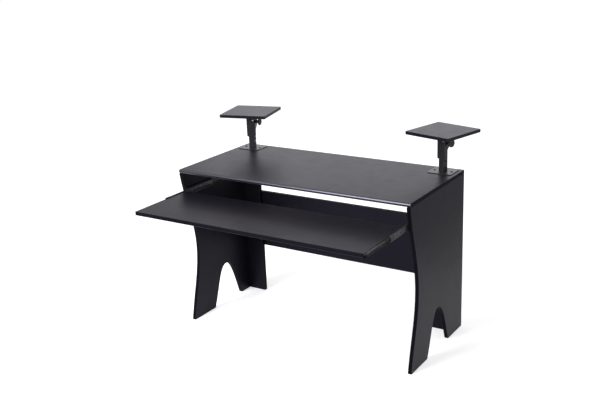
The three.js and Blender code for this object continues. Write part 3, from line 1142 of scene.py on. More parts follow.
@dataclass
class Carcass(Assembly):
    """The desktop, the side panels and the boards between them.

    The handles shape the side panel's four curves, as shares of the way along each. A face is
    large when its normal has more than large_face along Z, and it belongs to the nose when its
    normal has less than facing_front along Y.
    """

    width: float = 1220
    depth: float = 566
    height: float = 787
    board: float = 18
    edge: float = 1.0
    nose_steps: int = 28
    large_face: float = 0.96
    facing_front: float = -0.1
    setback: float = 1
    waist_depth: float = 82
    waist_height: float = 370
    foot_setback: float = 10
    front_foot: float = 166
    rear_foot: float = 160
    arch_height: float = 210
    crest_share: float = 0.48
    foot_corner: float = 4
    curve_steps: int = 44
    handles: tuple[tuple[Point, Point], ...] = (
        ((0.22, 0.33), (1, 0.67)), ((0, 0.36), (0.63, 0.615)),
        ((0.4, 0.46), (0.53, 1)), ((0.46, 0), (0.66, 0.45)))
    return_width: float = 100
    return_rear_gap: float = 66
    rear_height: float = 299
    rear_clearance: float = 257
    edge_screw_heights: Point = (285, 478)
    panel_screw_inset: float = 32
    screws: Screws = Screws(4.4, 2.4, 2.0, 1.2)
    front: float = field(init=False)

    def __post_init__(self) -> None:
        """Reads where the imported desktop's front edge is."""
        self.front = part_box("desktop")[0].y / MM

    @property
    def rear(self) -> float:
        """Where the desktop's rear edge is."""
        return self.front + self.depth

    @property
    def underside(self) -> float:
        """The height of the desktop's underside."""
        return self.height - self.board

    @property
    def inner_face(self) -> float:
        """How far the side panels' inner faces are from the middle."""
        return self.width / 2 - self.board

    @staticmethod
    def banded(axis: int, flat: float = 0.6) -> Callable[[Vector], Finish]:
        """Bands the faces whose normal has less than flat along an axis."""
        return lambda normal: BOARD if abs(normal[axis]) > flat else EDGING

    def desktop_finish(self, normal: Vector) -> Finish:
        """Tells the desktop's large faces, its satin nose and its banded edges apart.

        Args:
            normal: The face's normal.

        Returns:
            The face's finish.
        """
        if abs(normal.z) > self.large_face:
            return BOARD
        return NOSE if normal.y < self.facing_front else EDGING

    def nosed(self, width: float, depth: float, front: float, bottom: float) -> Shape:
        """A board with a full round along its front edge.

        Args:
            width: Its width.
            depth: Its depth.
            front: Where its front edge is.
            bottom: The height of its underside.

        Returns:
            The board.
        """
        radius = self.board / 2
        nose = Outline.arc((radius, radius), radius, QUARTER, 3 * QUARTER, self.nose_steps)
        shape = Shape.prism([(depth, 0), (depth, self.board), *nose], width, Plane.YZ)
        return shape.move(-width / 2, front, bottom)

    def panel_outline(self) -> list[Point]:
        """The side panel's outline as (depth, height) from the desktop's front edge.

        Returns:
            The outline, with a waist at the front and an arch between its feet.
        """
        waist = (self.setback + self.waist_depth, self.waist_height)
        foot, heel = self.foot_setback + self.front_foot, self.depth - self.rear_foot
        crest = (foot + (heel - foot) * self.crest_share, self.arch_height)
        front = ((self.setback, self.underside), waist, (self.foot_setback, 0))
        handles = iter(self.handles)
        points: list[Point] = [(self.depth, 0), (self.depth, self.underside)]
        for stops in (front, ((foot, 0), crest, (heel, 0))):
            points.append(stops[0])
            for start, end in zip(stops, stops[1:]):
                points += Outline.swept(start, end, next(handles), self.curve_steps)
        return Outline.eased(points, self.foot_corner)

    def side_panel(self, side: Side) -> Piece:
        """Builds a side panel.

        Args:
            side: The side of the desk.

        Returns:
            The piece.
        """
        left = self.inner_face if side is Side.RIGHT else -self.width / 2
        shape = Shape.prism(self.panel_outline(), self.board, Plane.YZ).move(left, self.front, 0)
        name = f"side_panel_{side.word}"
        return shape.piece(name, "board", BOARD, "frame", self.edge, dressed=self.banded(0))

    def upright(
        self, name: str, width: float, height: float, corner: float, place: Vector
    ) -> Piece:
        """Builds an upright board, placed by the middle of its rear face."""
        shape = Shape.block(width, height, corner, self.board, Plane.XZ).move(*place)
        return shape.piece(name, "board", BOARD, "frame", self.edge, dressed=self.banded(1))

    def edge_screws(self) -> Piece:
        """Builds the screws in the rear edges and through the rear panel.

        Returns:
            The piece.
        """
        places: list[Vector] = []
        panel = self.rear - self.return_rear_gap + self.board
        inset = self.panel_screw_inset
        for side in Side:
            edge = side.value * (self.width - self.board) / 2
            places += [Vector((edge, self.rear, height)) for height in self.edge_screw_heights]
            for across in (inset, self.return_width - inset):
                x = side.value * (self.inner_face - across)
                for drop in (inset, self.rear_height - inset):
                    places.append(Vector((x, panel, self.rear_clearance + drop)))
        return self.screws.piece("carcass_screws", "frame", places, Vector((0, 1, 0)))

    def pieces(self) -> Iterator[Piece]:
        """Builds the carcass's pieces.

        Yields:
            Each piece in turn.
        """
        top = self.nosed(self.width, self.depth, self.front, self.underside)
        yield top.piece(
            "desktop", "board", BOARD, "frame", self.edge, dressed=self.desktop_finish)
        y = self.rear - self.return_rear_gap
        corner = self.foot_corner / 2
        for side in Side:
            yield self.side_panel(side)
            x = side.value * (self.inner_face - self.return_width / 2)
            place = Vector((x, y, self.underside / 2))
            name = f"return_panel_{side.word}"
            yield self.upright(name, self.return_width, self.underside, corner, place)
        place = Vector((0, y + self.board, self.rear_clearance + self.rear_height / 2))
        yield self.upright("rear_panel", 2 * self.inner_face, self.rear_height, self.edge, place)
        yield self.edge_screws()


@dataclass
class TrayRunners(Assembly):
    """The keyboard tray and the ball-bearing runners that carry it.

    A reach is how far flanges come out from the side panel, or from the tray for the inner
    member. Grouped sizes are (length, width) of a slot, (inset, length) of a cage, (overrun,
    rise, width, depth) of the groove, (length, width, thickness) of the lever and (length,
    height) of its tab.
    """

    carcass: Carcass
    tray_top: float = 683
    tray_depth: float = 354
    travel: float = 354
    closed_setback: float = 6
    space: float = 12.7
    height: float = 35
    outer_setback: float = 14
    outer_length: float = 350
    outer_sheet: float = 1.2
    outer_reach: float = 8.8
    outer_lip: float = 3.1
    middle_sheet: float = 1.0
    middle_reach: float = 11.5
    middle_lip: float = 3.0
    middle_share: float = 0.42
    bumper: float = 28
    bumper_wall: float = 2
    bumper_ease: float = 0.7
    inner_setback: float = 2
    inner_length: float = 350
    inner_sheet: float = 1.2
    inner_reach: float = 7.1
    bend: float = 2.2
    play: float = 0.4
    gap: float = 0.3
    ease: float = 0.15
    ease_steps: int = 2
    ball: float = 1.5
    ball_play: float = 0.3
    cage_sheet: float = 0.6
    cage_steps: int = 4
    outer_cage: Point = (16, 160)
    inner_cage: Point = (6, 92)
    cage_end: float = 8
    hole: float = 2.6
    hole_inset: float = 35
    hole_steps: int = 24
    tool_overrun: float = 4
    slot: Point = (22, 6)
    slot_inset: float = 48
    slot_pitch: float = 96
    slot_flat: float = 0.01
    groove: tuple[float, float, float, float] = (2, 3.0, 2.8, 0.8)
    lever: tuple[float, float, float] = (50, 8, 2.4)
    lever_setback: float = 178
    lever_tab: Point = (16, 2.6)
    lever_ease: float = 0.25
    ribs: int = 5
    rib_share: float = 0.62
    rib_inset: float = 0.8
    rib_corner: float = 0.5
    rib_steps: int = 3
    # The runner screws take the zinc that is darkened as painted shade.
    panel_screws: Screws = Screws(3.4, 0.6, 1.5, 0.2, SHADED_ZINC)
    tray_screws: Screws = Screws(4.2, 1.6, 1.7, 0.3, SHADED_ZINC)

    @property
    def centre(self) -> float:
        """The height of the runners' middle."""
        return self.tray_top - self.carcass.board / 2

    @property
    def race(self) -> float:
        """The room between two members that a ball runs in."""
        return 2 * (self.ball + self.ball_play)

    @property
    def middle_top(self) -> float:
        """How far the middle member reaches above the runner's middle."""
        return self.height / 2 - self.outer_sheet - self.race

    @property
    def inner_top(self) -> float:
        """How far the inner member reaches above the runner's middle."""
        return self.middle_top - self.middle_sheet - self.race

    @property
    def outer_cage_web(self) -> float:
        """How far the outer cage is from the side panel."""
        return self.outer_sheet + self.play

    @property
    def middle_web(self) -> float:
        """How far the middle member is from the side panel."""
        return self.outer_cage_web + self.cage_sheet + self.play

    @property
    def inner_cage_web(self) -> float:
        """How far the inner cage is from the side panel."""
        return self.middle_web + self.middle_sheet + self.play

    @property
    def outer_start(self) -> float:
        """Where the outer member's front end is."""
        return self.carcass.front + self.outer_setback

    @property
    def bumper_start(self) -> float:
        """Where the bumper's front end is."""
        return self.outer_start - self.travel * self.middle_share

    @property
    def middle_start(self) -> float:
        """Where the middle member's front end is."""
        return self.bumper_start + self.bumper

    @property
    def tray_front(self) -> float:
        """Where the tray's front edge is."""
        return self.carcass.front + self.closed_setback - self.travel

    @property
    def inner_start(self) -> float:
        """Where the inner member's front end is."""
        return self.tray_front + self.inner_setback

    def line(self, web: float, tip: float, half: float, lip: float = 0) -> list[Point]:
        """The middle line of a channel, from its upper lip to its lower."""
        upper = [(web, half), (tip, half)] + ([(tip, half - lip)] if lip > 0 else [])
        return upper[::-1] + [(across, -height) for across, height in upper]

    def bar(self, side: Side, outline: Sequence[Point], start: float, length: float) -> Shape:
        """Pushes a section out along the runner.

        Args:
            side: The side of the desk.
            outline: The section as (across, height).
            start: Where its front end is.
            length: Its length.

        Returns:
            The bar.
        """
        flipped = [(-side.value * across, height) for across, height in outline]
        shape = Shape.prism(flipped, length, Plane.XZ)
        return shape.move(side.value * self.carcass.inner_face, start + length, self.centre)

    def through(self, side: Side, outline: Sequence[Point], along: float) -> Shape:
        """A tool that passes through a runner's web.

        Args:
            side: The side of the desk.
            outline: The hole's outline as (depth, height) about zero.
            along: Where its middle is along the desk's depth.

        Returns:
            The tool.
        """
        reach = self.space + self.tool_overrun
        tool = Shape.prism(outline, 2 * reach, Plane.YZ)
        return tool.move(side.value * self.carcass.inner_face - reach, along, self.centre)

    def fixings(self, start: float, length: float) -> list[float]:
        """Where a member's three screws are along the desk's depth."""
        insets = (self.hole_inset, length / 2, length - self.hole_inset)
        return [start + inset for inset in insets]

    def drilled(
        self, side: Side, line: Sequence[Point], sheet: float, start: float, length: float
    ) -> Shape:
        """A folded member with its three screw holes.

        Args:
            side: The side of the desk.
            line: The middle line of its section.
            sheet: The metal's thickness.
            start: Where its front end is.
            length: Its length.

        Returns:
            The member.
        """
        hole = Outline.circle(self.hole, self.hole_steps)
        tools = [self.through(side, hole, along) for along in self.fixings(start, length)]
        bar = self.bar(side, Outline.folded(line, sheet, self.bend), start, length)
        return bar.worked(Work.CUT, *tools)

    def outer(self, side: Side) -> Piece:
        """Builds the member on the side panel.

        Args:
            side: The side of the desk.

        Returns:
            The piece.
        """
        sheet = self.outer_sheet
        half = (self.height - sheet) / 2
        line = self.line(sheet / 2, self.outer_reach - sheet / 2, half, self.outer_lip)
        shape = self.drilled(side, line, sheet, self.outer_start, self.outer_length)
        name = f"runner_outer_{side.word}"
        return shape.piece(name, "channel", COATED, "frame", self.ease, self.ease_steps)

    def middle(self, side: Side) -> Piece:
        """Builds the bright member between the two others.

        Args:
            side: The side of the desk.

        Returns:
            The piece, with its slots, its round holes and the groove along its web.
        """
        sheet, start, length = self.middle_sheet, self.middle_start, self.outer_length - self.bumper
        line = self.line(
            self.middle_web + sheet / 2, self.middle_reach - sheet / 2,
            self.middle_top - sheet / 2, self.middle_lip)
        across, above, wide, deep = self.groove
        corners = ((-across, 0), (deep, 0), (deep, wide), (-across, wide))
        groove = [(self.middle_web + x, above + z - self.middle_top) for x, z in corners]
        tools = [self.bar(side, groove, start - across, length + 2 * across)]
        slot = Outline.rectangle(*self.slot, self.slot[1] / 2 - self.slot_flat)
        hole = Outline.circle(self.slot[1] / 2, self.hole_steps)
        along = self.slot_inset
        while along < length - self.slot_inset:
            tools.append(self.through(side, slot, start + along))
            tools.append(self.through(side, hole, start + along + self.slot_pitch / 2))
            along += self.slot_pitch
        shape = self.bar(side, Outline.folded(line, sheet, self.bend), start, length)
        name = f"runner_middle_{side.word}"
        shape = shape.worked(Work.CUT, *tools)
        # The middle member takes the zinc that is darkened as painted shade.
        return shape.piece(name, "channel", SHADED_ZINC, name, self.ease, self.ease_steps)

    def inner(self, side: Side) -> Piece:
        """Builds the member on the tray.

        Args:
            side: The side of the desk.

        Returns:
            The piece.
        """
        sheet = self.inner_sheet
        line = self.line(
            self.space - sheet / 2, self.space - self.inner_reach, self.inner_top - sheet / 2)
        shape = self.drilled(side, line, sheet, self.inner_start, self.inner_length)
        name = f"runner_inner_{side.word}"
        return shape.piece(name, "channel", DARK, "tray", self.ease, self.ease_steps)

    def bumper_block(self, side: Side) -> Piece:
        """Builds the moulded block that leads the middle member.

        Args:
            side: The side of the desk.

        Returns:
            The piece.
        """
        half, gap = self.middle_top, self.inner_top + self.play
        web, reach, wall = self.middle_web, self.middle_reach, self.middle_web + self.bumper_wall
        outline = [
            (web, half), (reach, half), (reach, gap), (wall, gap),
            (wall, -gap), (reach, -gap), (reach, -half), (web, -half)]
        shape = self.bar(side, outline, self.bumper_start, self.bumper - self.gap)
        body = f"runner_middle_{side.word}"
        return shape.piece(
            f"runner_bumper_{side.word}", "block", PLASTIC, body, self.bumper_ease)

    def release_lever(self, side: Side) -> Piece:
        """Builds the flat lever that frees the tray, with a ribbed thumb tab.

        Args:
            side: The side of the desk.

        Returns:
            The piece.
        """
        length, width, thickness = self.lever
        tab_length, tab_height = self.lever_tab
        half, pitch = width / 2, tab_length / self.ribs
        lever = Shape.block(length, width, half - self.slot_flat, thickness, Plane.YZ)
        for rib in range(self.ribs):
            shape = Shape.block(
                pitch * self.rib_share, width - self.rib_inset, self.rib_corner, tab_height,
                Plane.YZ, self.rib_steps)
            along = half + (rib + 0.5) * pitch - length / 2
            lever.join(shape.move(thickness - self.gap, along, 0))
        if side is Side.LEFT:
            lever.turn(math.pi, "Y")
        x = side.value * (self.carcass.inner_face - self.space + self.inner_sheet + self.gap)
        lever.move(x, self.inner_start + self.lever_setback + length / 2, self.centre)
        name = f"release_lever_{side.word}"
        return lever.piece(name, "moulding", PLASTIC, "tray", self.lever_ease, self.ease_steps)

    def cage(self, side: Side, cage: Cage) -> Iterator[Piece]:
        """Builds a ball cage: its folded strip and its balls.

        Args:
            side: The side of the desk.
            cage: Which cage of the runner.

        Yields:
            The strip, then the balls.
        """
        if cage is Cage.OUTER:
            web, tip = self.outer_cage_web, self.outer_reach - self.outer_sheet - self.play
            across, half = self.outer_reach / 2, self.height / 2 - self.outer_sheet - self.race / 2
            start, (inset, length) = self.outer_start, self.outer_cage
        else:
            web, tip = self.inner_cage_web, self.middle_reach - self.middle_sheet - self.play
            across = (self.space - self.inner_reach + self.middle_reach - self.middle_sheet) / 2
            half = self.inner_top + self.race / 2
            start, (inset, length) = self.middle_start, self.inner_cage
        start += inset
        sheet = self.cage_sheet
        section = Outline.folded(
            self.line(web + sheet / 2, tip, half), sheet, sheet, self.cage_steps)
        name = f"ball_cage_{cage.value}_{side.word}"
        yield self.bar(side, section, start, length).piece(name, "strip", BEARING, name)
        x, y = side.value * (self.carcass.inner_face - across), start + self.cage_end
        starts = [Vector((x, y, self.centre + sign * half)) for sign in (-1, 1)]
        balls = BallRow(self.ball)
        yield balls.rows(f"{name}_balls", name, starts, length - 2 * self.cage_end)

    def member_screws(self, side: Side) -> Iterator[Piece]:
        """Builds the screws that fix the outer and inner members.

        Args:
            side: The side of the desk.

        Yields:
            The screws in the panel, then the screws in the tray.
        """
        way = Vector((-side.value, 0, 0))
        face = side.value * self.carcass.inner_face
        x = face + way.x * self.outer_sheet
        rear = self.fixings(self.outer_start, self.outer_length)[1:]
        places = [Vector((x, along, self.centre)) for along in rear]
        yield self.panel_screws.piece(f"panel_screws_{side.word}", "frame", places, way)
        x = face + way.x * (self.space - self.inner_sheet)
        all_three = self.fixings(self.inner_start, self.inner_length)
        places = [Vector((x, along, self.centre)) for along in all_three]
        yield self.tray_screws.piece(f"tray_screws_{side.word}", "tray", places, -way)

    def pieces(self) -> Iterator[Piece]:
        """Builds the tray and both runners.

        Yields:
            Each piece in turn.
        """
        carcass = self.carcass
        width = 2 * (carcass.inner_face - self.space)
        bottom = self.tray_top - carcass.board
        board = carcass.nosed(width, self.tray_depth, self.tray_front, bottom)
        yield board.piece(
            "keyboard_tray", "board", BOARD, "tray", carcass.edge,
            dressed=carcass.banded(2, carcass.large_face))
        for side in Side:
            yield self.outer(side)
            yield self.middle(side)
            yield self.inner(side)
            yield self.bumper_block(side)
            yield self.release_lever(side)
            for cage in Cage:
                yield from self.cage(side, cage)
            yield from self.member_screws(side)


@dataclass(frozen=True)
class DomedScrew:
    """A turned screw, with the foot of its domed head on Z zero.

    The shank is a radius, a foot and a top. From the rim on, sizes are shares of the head's.
    """

    radius: float
    height: float
    shank: tuple[float, float, float]
    shank_steps: int = 24
    steps: int = 40
    crown_steps: int = 8
    crown_points: int = 6
    rim: float = 0.35
    recess: float = 0.46
    recess_edge: float = 0.97
    recess_floor: Point = (0.35, 0.25)

    def shape(self) -> Shape:
        """Turns the head, with a round recess, and adds the shank.

        Returns:
            The screw.
        """
        recess, (wall, floor) = self.radius * self.recess, self.recess_floor
        turns = [i * QUARTER / self.crown_steps for i in range(self.crown_points)]
        crown = [(math.cos(a), self.rim + (1 - self.rim) * math.sin(a)) for a in turns]
        profile = [
            (0, 0), (self.radius, 0), *((self.radius * x, self.height * z) for x, z in crown),
            (recess, self.height * self.recess_edge), (recess, self.height * wall),
            (0, self.height * floor)]
        return Shape.turned(profile, self.steps).join(Shape.drum(*self.shank, self.shank_steps))


@dataclass
class MonitorStand(Assembly):
    """A monitor stand: plate, swivel, mast, tilt head, knob and platform.

    Grouped sizes are (width, depth, thickness) of the plate, (radius, height) of the pin, (outer,
    inner) of the swivel's corners, (foot, top) of its hole, (inset, height) of the head's foot,
    (x, z) of the head's screws, (y, z) of the pivot, (radius, thickness) of the washer, (side,
    thickness) of the platform and (radius, height) from the inner end of the hub in the knob's
    profile. The hexagon is chamfered to a cone with the two radii of hex_chamfer.
    """

    carcass: Carcass
    side: Side
    inset: float = 77
    rear_gap: float = 66
    toe_in: float = 14
    gap: float = 0.3
    fine_ease: float = 0.15
    screw_ease: float = 0.2
    tube_ease: float = 0.25
    sheet_ease: float = 0.3
    fine_steps: int = 2
    plate: tuple[float, float, float] = (118, 100, 3)
    plate_corner: float = 12
    plate_ease: float = 0.5
    corner_steps: int = 12
    screw_spread: float = 84
    pin: Point = (4, 8)
    mast_side: float = 30
    mast_wall: float = 1.7
    mast_height: float = 114
    mast_corner: float = 3
    mast_overrun: float = 2
    swivel_side: float = 26
    swivel_height: float = 104
    swivel_floor: float = 3
    swivel_corners: Point = (2.5, 1.2)
    swivel_hole: Point = (-4, 8)
    clamp_heights: Point = (19, 47)
    clamp_screw: DomedScrew = DomedScrew(5, 5, (3, -1.8, 0.4))
    head_lift: float = 59
    head_width: float = 45
    head_height: float = 97
    head_sheet: float = 2
    head_bend: float = 3
    head_corner: float = 5
    head_rounding: float = 2.5
    head_room: float = 0.2
    ear_depth: float = 41
    ear_height: float = 27
    stem_depth: float = 15
    stem_height: float = 32
    sweep_start: Point = (11, 22)
    sweep_drop: float = 12
    sweep_steps: int = 14
    foot: Point = (3.5, 6)
    foot_slope: float = 1
    overrun: float = 10
    bore_overrun: float = 4
    head_screw: Point = (0, 47)
    corner_screw: Point = (14, 85)
    web_screw: DomedScrew = DomedScrew(4.6, 1.8, (3, -2.2, 0.3))
    pivot: Point = (6, 75)
    pivot_radius: float = 4
    bolt_reach: float = 39
    washer: Point = (8.2, 1.2)
    washer_steps: int = 40
    washer_bite: float = 0.1
    hex_radius: float = 7.5
    hex_height: float = 5.5
    hex_chamfer: Point = (5.6, 9.5)
    shank_sunk: float = 1
    touch: float = 0.01
    bracket_sheet: float = 2.5
    bracket_plate: float = 110
    bracket_corner: float = 6
    bracket_play: float = 0.5
    bracket_screw: float = 86
    bracket_bore: float = 30
    ear_radius: float = 10
    ear_spread: float = 40
    ear_rise: float = 28
    ear_steps: int = 24
    flare_start: Point = (-6, 4)
    flare_end: Point = (3, 6)
    flare_steps: int = 10
    lift: float = 42
    platform: Point = (242, 15)
    platform_corner: float = 5
    platform_forward: float = 4
    platform_ease: float = 1.4
    platform_steps: int = 4
    screws: Screws = Screws(5, 3)
    knob_profile: tuple[Point, ...] = (
        (0, 0), (7.2, 0), (8, 0.8), (8, 13.5), (9.5, 15), (16.8, 15.2), (18.3, 16),
        (19, 17.6), (19, 21.4), (18.3, 23.1), (16.6, 24), (14.8, 23.7), (12.5, 22.5),
        (8, 22), (6.5, 22.6), (5.2, 22.8), (4.6, 22.2), (0, 22.2))
    knob_steps: int = 120
    knob_crease: float = 50
    lobes: int = 10
    lobe_depth: float = 0.95
    lobe_power: float = 1.4
    lobe_reach: float = 16

    @property
    def word(self) -> str:
        """The side's word."""
        return self.side.word

    @property
    def web(self) -> float:
        """Where the front face of the head's web is."""
        return -self.mast_side / 2 - self.gap - self.head_sheet

    @property
    def platform_middle(self) -> float:
        """Where the platform's middle is, from the pivot."""
        return -self.pivot[0] - self.platform_forward

    def plate_frame(self) -> Matrix:
        """The plate's place on the desktop."""
        x = self.side.value * (self.carcass.width / 2 - self.inset)
        return Matrix.Translation((x, self.carcass.rear - self.rear_gap, self.carcass.height))

    def mast_frame(self) -> Matrix:
        """The place of what turns on the plate."""
        turn = Matrix.Rotation(math.radians(-self.side.value * self.toe_in), 4, "Z")
        return self.plate_frame() @ turn @ Matrix.Translation((0, 0, self.plate[2]))

    def head_frame(self) -> Matrix:
        """The place of the tilt head's foot."""
        return self.mast_frame() @ Matrix.Translation((0, 0, self.head_lift))

    def pivot_frame(self) -> Matrix:
        """The place of the pivot."""
        return self.head_frame() @ Matrix.Translation((0, *self.pivot))

    def metal(
        self, shape: Shape, stem: str, form: str, body: str, ease: float, finish: Finish = COATED
    ) -> Piece:
        """Hands over a metal piece whose node and body end in the side's word."""
        name, body = f"{stem}_{self.word}", f"{body}_{self.word}"
        return shape.piece(name, form, finish, body, ease, self.fine_steps)

    def base_plate(self) -> Piece:
        """Builds the plate with its pin.

        Returns:
            The piece.
        """
        width, depth, thickness = self.plate
        radius, height = self.pin
        shape = Shape.block(
            width, depth, self.plate_corner, thickness, steps=self.corner_steps)
        pin = Shape.drum(radius, 0, height).move(0, 0, thickness - self.gap)
        shape.join(pin).place(self.plate_frame())
        name = f"stand_plate_{self.word}"
        return shape.piece(name, "steel", COATED, "frame", self.plate_ease)

    def mast(self) -> Piece:
        """Builds the square mast.

        Returns:
            The piece.
        """
        side, wall, over = self.mast_side, self.mast_wall, self.mast_overrun
        inside, height = side - 2 * wall, self.mast_height
        tube = Shape.block(side, side, self.mast_corner, height)
        bore = Shape.block(inside, inside, self.mast_corner - wall, height + 2 * over)
        shape = tube.worked(Work.CUT, bore.move(0, 0, -over))
        shape.move(0, 0, self.gap).place(self.mast_frame())
        return self.metal(shape, "mast", "tube", "mast", self.tube_ease)

    def swivel(self) -> Piece:
        """Builds the square tube inside the mast.

        Returns:
            The piece.
        """
        side, inside = self.swivel_side, self.swivel_side - 2 * self.mast_wall
        outer_corner, inner_corner = self.swivel_corners
        tube = Shape.block(side, side, outer_corner, self.swivel_height)
        bore = Shape.block(inside, inside, inner_corner, self.swivel_height)
        hole = Shape.drum(self.pin[0] + self.gap, *self.swivel_hole)
        shape = tube.worked(Work.CUT, bore.move(0, 0, self.swivel_floor), hole)
        shape.move(0, 0, self.gap).place(self.mast_frame())
        return self.metal(shape, "swivel_tube", "steel", "swivel", self.tube_ease, DARK)

    def clamp_screws(self) -> Iterator[Piece]:
        """Builds the two screws in the mast's side, the lower one first.

        Yields:
            Each piece in turn.
        """
        for place, height in zip(("lower", "upper"), self.clamp_heights):
            shape = self.clamp_screw.shape().turn(QUARTER, "Y")
            shape.move(self.mast_side / 2 + self.gap, 0, height).place(self.mast_frame())
            yield self.metal(shape, f"clamp_screw_{place}", "steel", "mast", self.screw_ease)

    def head(self) -> Piece:
        """Builds the tilt head from a folded channel, cut to its two outlines.

        Returns:
            The piece.
        """
        half, height, over = self.head_width / 2, self.head_height, self.overrun
        rear, middle, corner = self.web + self.ear_depth, self.head_sheet / 2, self.head_corner
        line = [
            (-half + middle, rear), (-half + middle, self.web + middle),
            (half - middle, self.web + middle), (half - middle, rear)]
        fold = Outline.folded(line, self.head_sheet, self.head_bend)
        channel = Shape.prism(fold, height, Plane.XY)
        inset, foot = self.foot
        wide = half + self.head_room
        front = [
            (-half + inset, 0), (half - inset, 0), (wide, foot), (wide, height - corner),
            (half - corner, height), (-half + corner, height), (-wide, height - corner),
            (-wide, foot)]
        outline = Outline.eased(front, self.head_rounding)
        face = Shape.prism(outline, self.ear_depth + 2 * over, Plane.XZ).move(0, rear + over, 0)
        stem, ear = self.web + self.stem_depth, height - self.ear_height
        across, up = self.sweep_start
        sweep = Outline.curve(
            (stem, self.stem_height), (stem + across, self.stem_height + up),
            (rear, ear - self.sweep_drop), (rear, ear), self.sweep_steps)
        profile = [
            (self.web - over, -self.foot_slope), (stem - inset, 0), (stem, foot),
            (stem, self.stem_height), *sweep, (rear, height - corner), (rear - corner, height),
            (self.web - over, height + self.foot_slope)]
        outline = Outline.eased(profile, self.head_rounding)
        side = Shape.prism(outline, self.head_width + 2 * over, Plane.YZ).move(-half - over, 0, 0)
        reach = half + self.bore_overrun
        bore = Shape.drum(self.pivot_radius + self.gap, -reach, reach)
        bore.turn(QUARTER, "Y").move(0, *self.pivot)
        shape = channel.worked(Work.CROSS, face, side).worked(Work.CUT, bore)
        shape.place(self.head_frame())
        return self.metal(shape, "tilt_head", "channel", "mast", self.sheet_ease)

    def head_screws(self) -> Iterator[Piece]:
        """Builds the screw over the mast and the one in the corner of the head's web.

        Yields:
            Each piece in turn.
        """
        for stem, (x, z), finish in (
            ("head_screw", self.head_screw, COATED),
            ("corner_screw", self.corner_screw, NICKEL),
        ):
            shape = self.web_screw.shape().turn(QUARTER, "X")
            shape.move(x, self.web - self.gap, z).place(self.head_frame())
            yield self.metal(shape, stem, "steel", "mast", self.fine_ease, finish)

    def bolt(self) -> Piece:
        """Builds the pivot bolt with its hexagon head and washer.

        Returns:
            The piece.
        """
        start = -self.head_width / 2 - self.gap
        end, (radius, thickness) = start - self.hex_height, self.washer
        shank = Shape.drum(self.pivot_radius, start - self.shank_sunk, self.bolt_reach)
        washer = Shape.drum(radius, start - thickness, start, self.washer_steps)
        corners = Outline.circle(self.hex_radius, 6)
        hexagon = Shape.prism(corners, self.hex_height - thickness, Plane.XY).move(0, 0, end)
        tip, foot = self.hex_chamfer
        low, high = end - self.touch, start - thickness - self.washer_bite
        crown = Shape.turned([(0, low), (tip, low), (foot, high), (0, high)], self.washer_steps)
        shape = shank.join(washer, hexagon.worked(Work.CROSS, crown))
        shape.turn(QUARTER, "Y").place(self.pivot_frame())
        return self.metal(shape, "pivot_bolt", "steel", "mast", self.screw_ease)

    def bracket(self) -> Piece:
        """Builds the folded bracket under the platform.

        Returns:
            The piece.
        """
        sheet, radius, half = self.bracket_sheet, self.ear_radius, self.ear_spread / 2
        middle = self.head_width / 2 - self.head_sheet - self.bracket_play - sheet / 2
        top = self.lift - sheet / 2
        line = [(-middle, -radius), (-middle, top), (middle, top), (middle, -radius)]
        fold = Outline.folded(line, sheet, self.head_bend)
        ears = Shape.prism(fold, self.ear_spread, Plane.XZ).move(0, half, 0)
        low, high = self.flare_start
        back, under = self.flare_end
        flare = Outline.curve(
            (radius, self.ear_rise + low), (radius, self.ear_rise + high),
            (half - back, self.lift - under), (half, self.lift + self.touch), self.flare_steps)
        ear = Outline.arc((0, 0), radius, math.pi, 2 * math.pi, self.ear_steps)
        ear += flare + [(-a, b) for a, b in reversed(flare)]
        cut = Shape.prism(ear, self.head_width, Plane.YZ).move(-self.head_width / 2, 0, 0)
        reach = self.bracket_bore
        bore = Shape.drum(self.pivot_radius + self.gap, -reach, reach).turn(QUARTER, "Y")
        ears = ears.worked(Work.CROSS, cut).worked(Work.CUT, bore)
        plate = Shape.block(self.bracket_plate, self.bracket_plate, self.bracket_corner, sheet)
        plate.move(0, self.platform_middle, self.lift - sheet)
        shape = ears.worked(Work.UNITE, plate).place(self.pivot_frame())
        return self.metal(shape, "tilt_bracket", "steel", "platform", self.sheet_ease)

    def platform_board(self) -> Piece:
        """Builds the board that the monitor stands on.

        Returns:
            The piece.
        """
        side, thickness = self.platform
        shape = Shape.block(
            side, side, self.platform_corner, thickness, steps=self.corner_steps)
        shape.move(0, self.platform_middle, self.lift + self.gap).place(self.pivot_frame())
        name = f"platform_{self.word}"
        return shape.piece(
            name, "board", BOARD, name, self.platform_ease, self.platform_steps)

    def hollow(self, angle: float) -> float:
        """How deep the knob's rim is drawn in at an angle."""
        return self.lobe_depth * (0.5 - 0.5 * math.cos(self.lobes * angle)) ** self.lobe_power

    def knob(self) -> Piece:
        """Builds the scalloped hand knob on its hub.

        Returns:
            The piece.
        """
        start = self.head_width / 2 + self.gap
        profile = [(radius, start + height) for radius, height in self.knob_profile]
        shape = Shape.lobed(profile, self.knob_steps, self.hollow, self.lobe_reach)
        shape.turn(QUARTER, "Y").place(self.pivot_frame())
        name = f"tilt_knob_{self.word}"
        return shape.piece(name, "moulding", PLASTIC, name, crease=self.knob_crease)

    def plate_screws(self) -> Piece:
        """Builds the bolt heads on the plate.

        Returns:
            The piece.
        """
        frame, reach = self.plate_frame(), self.screw_spread / 2
        places = [frame @ Vector((x, 0, self.plate[2])) for x in (-reach, reach)]
        names = tuple(f"plate_screw_{place}_{self.word}" for place in ("inner", "outer"))
        return self.screws.piece(
            f"plate_screws_{self.word}", "frame", places, Vector((0, 0, 1)), stands_for=names)

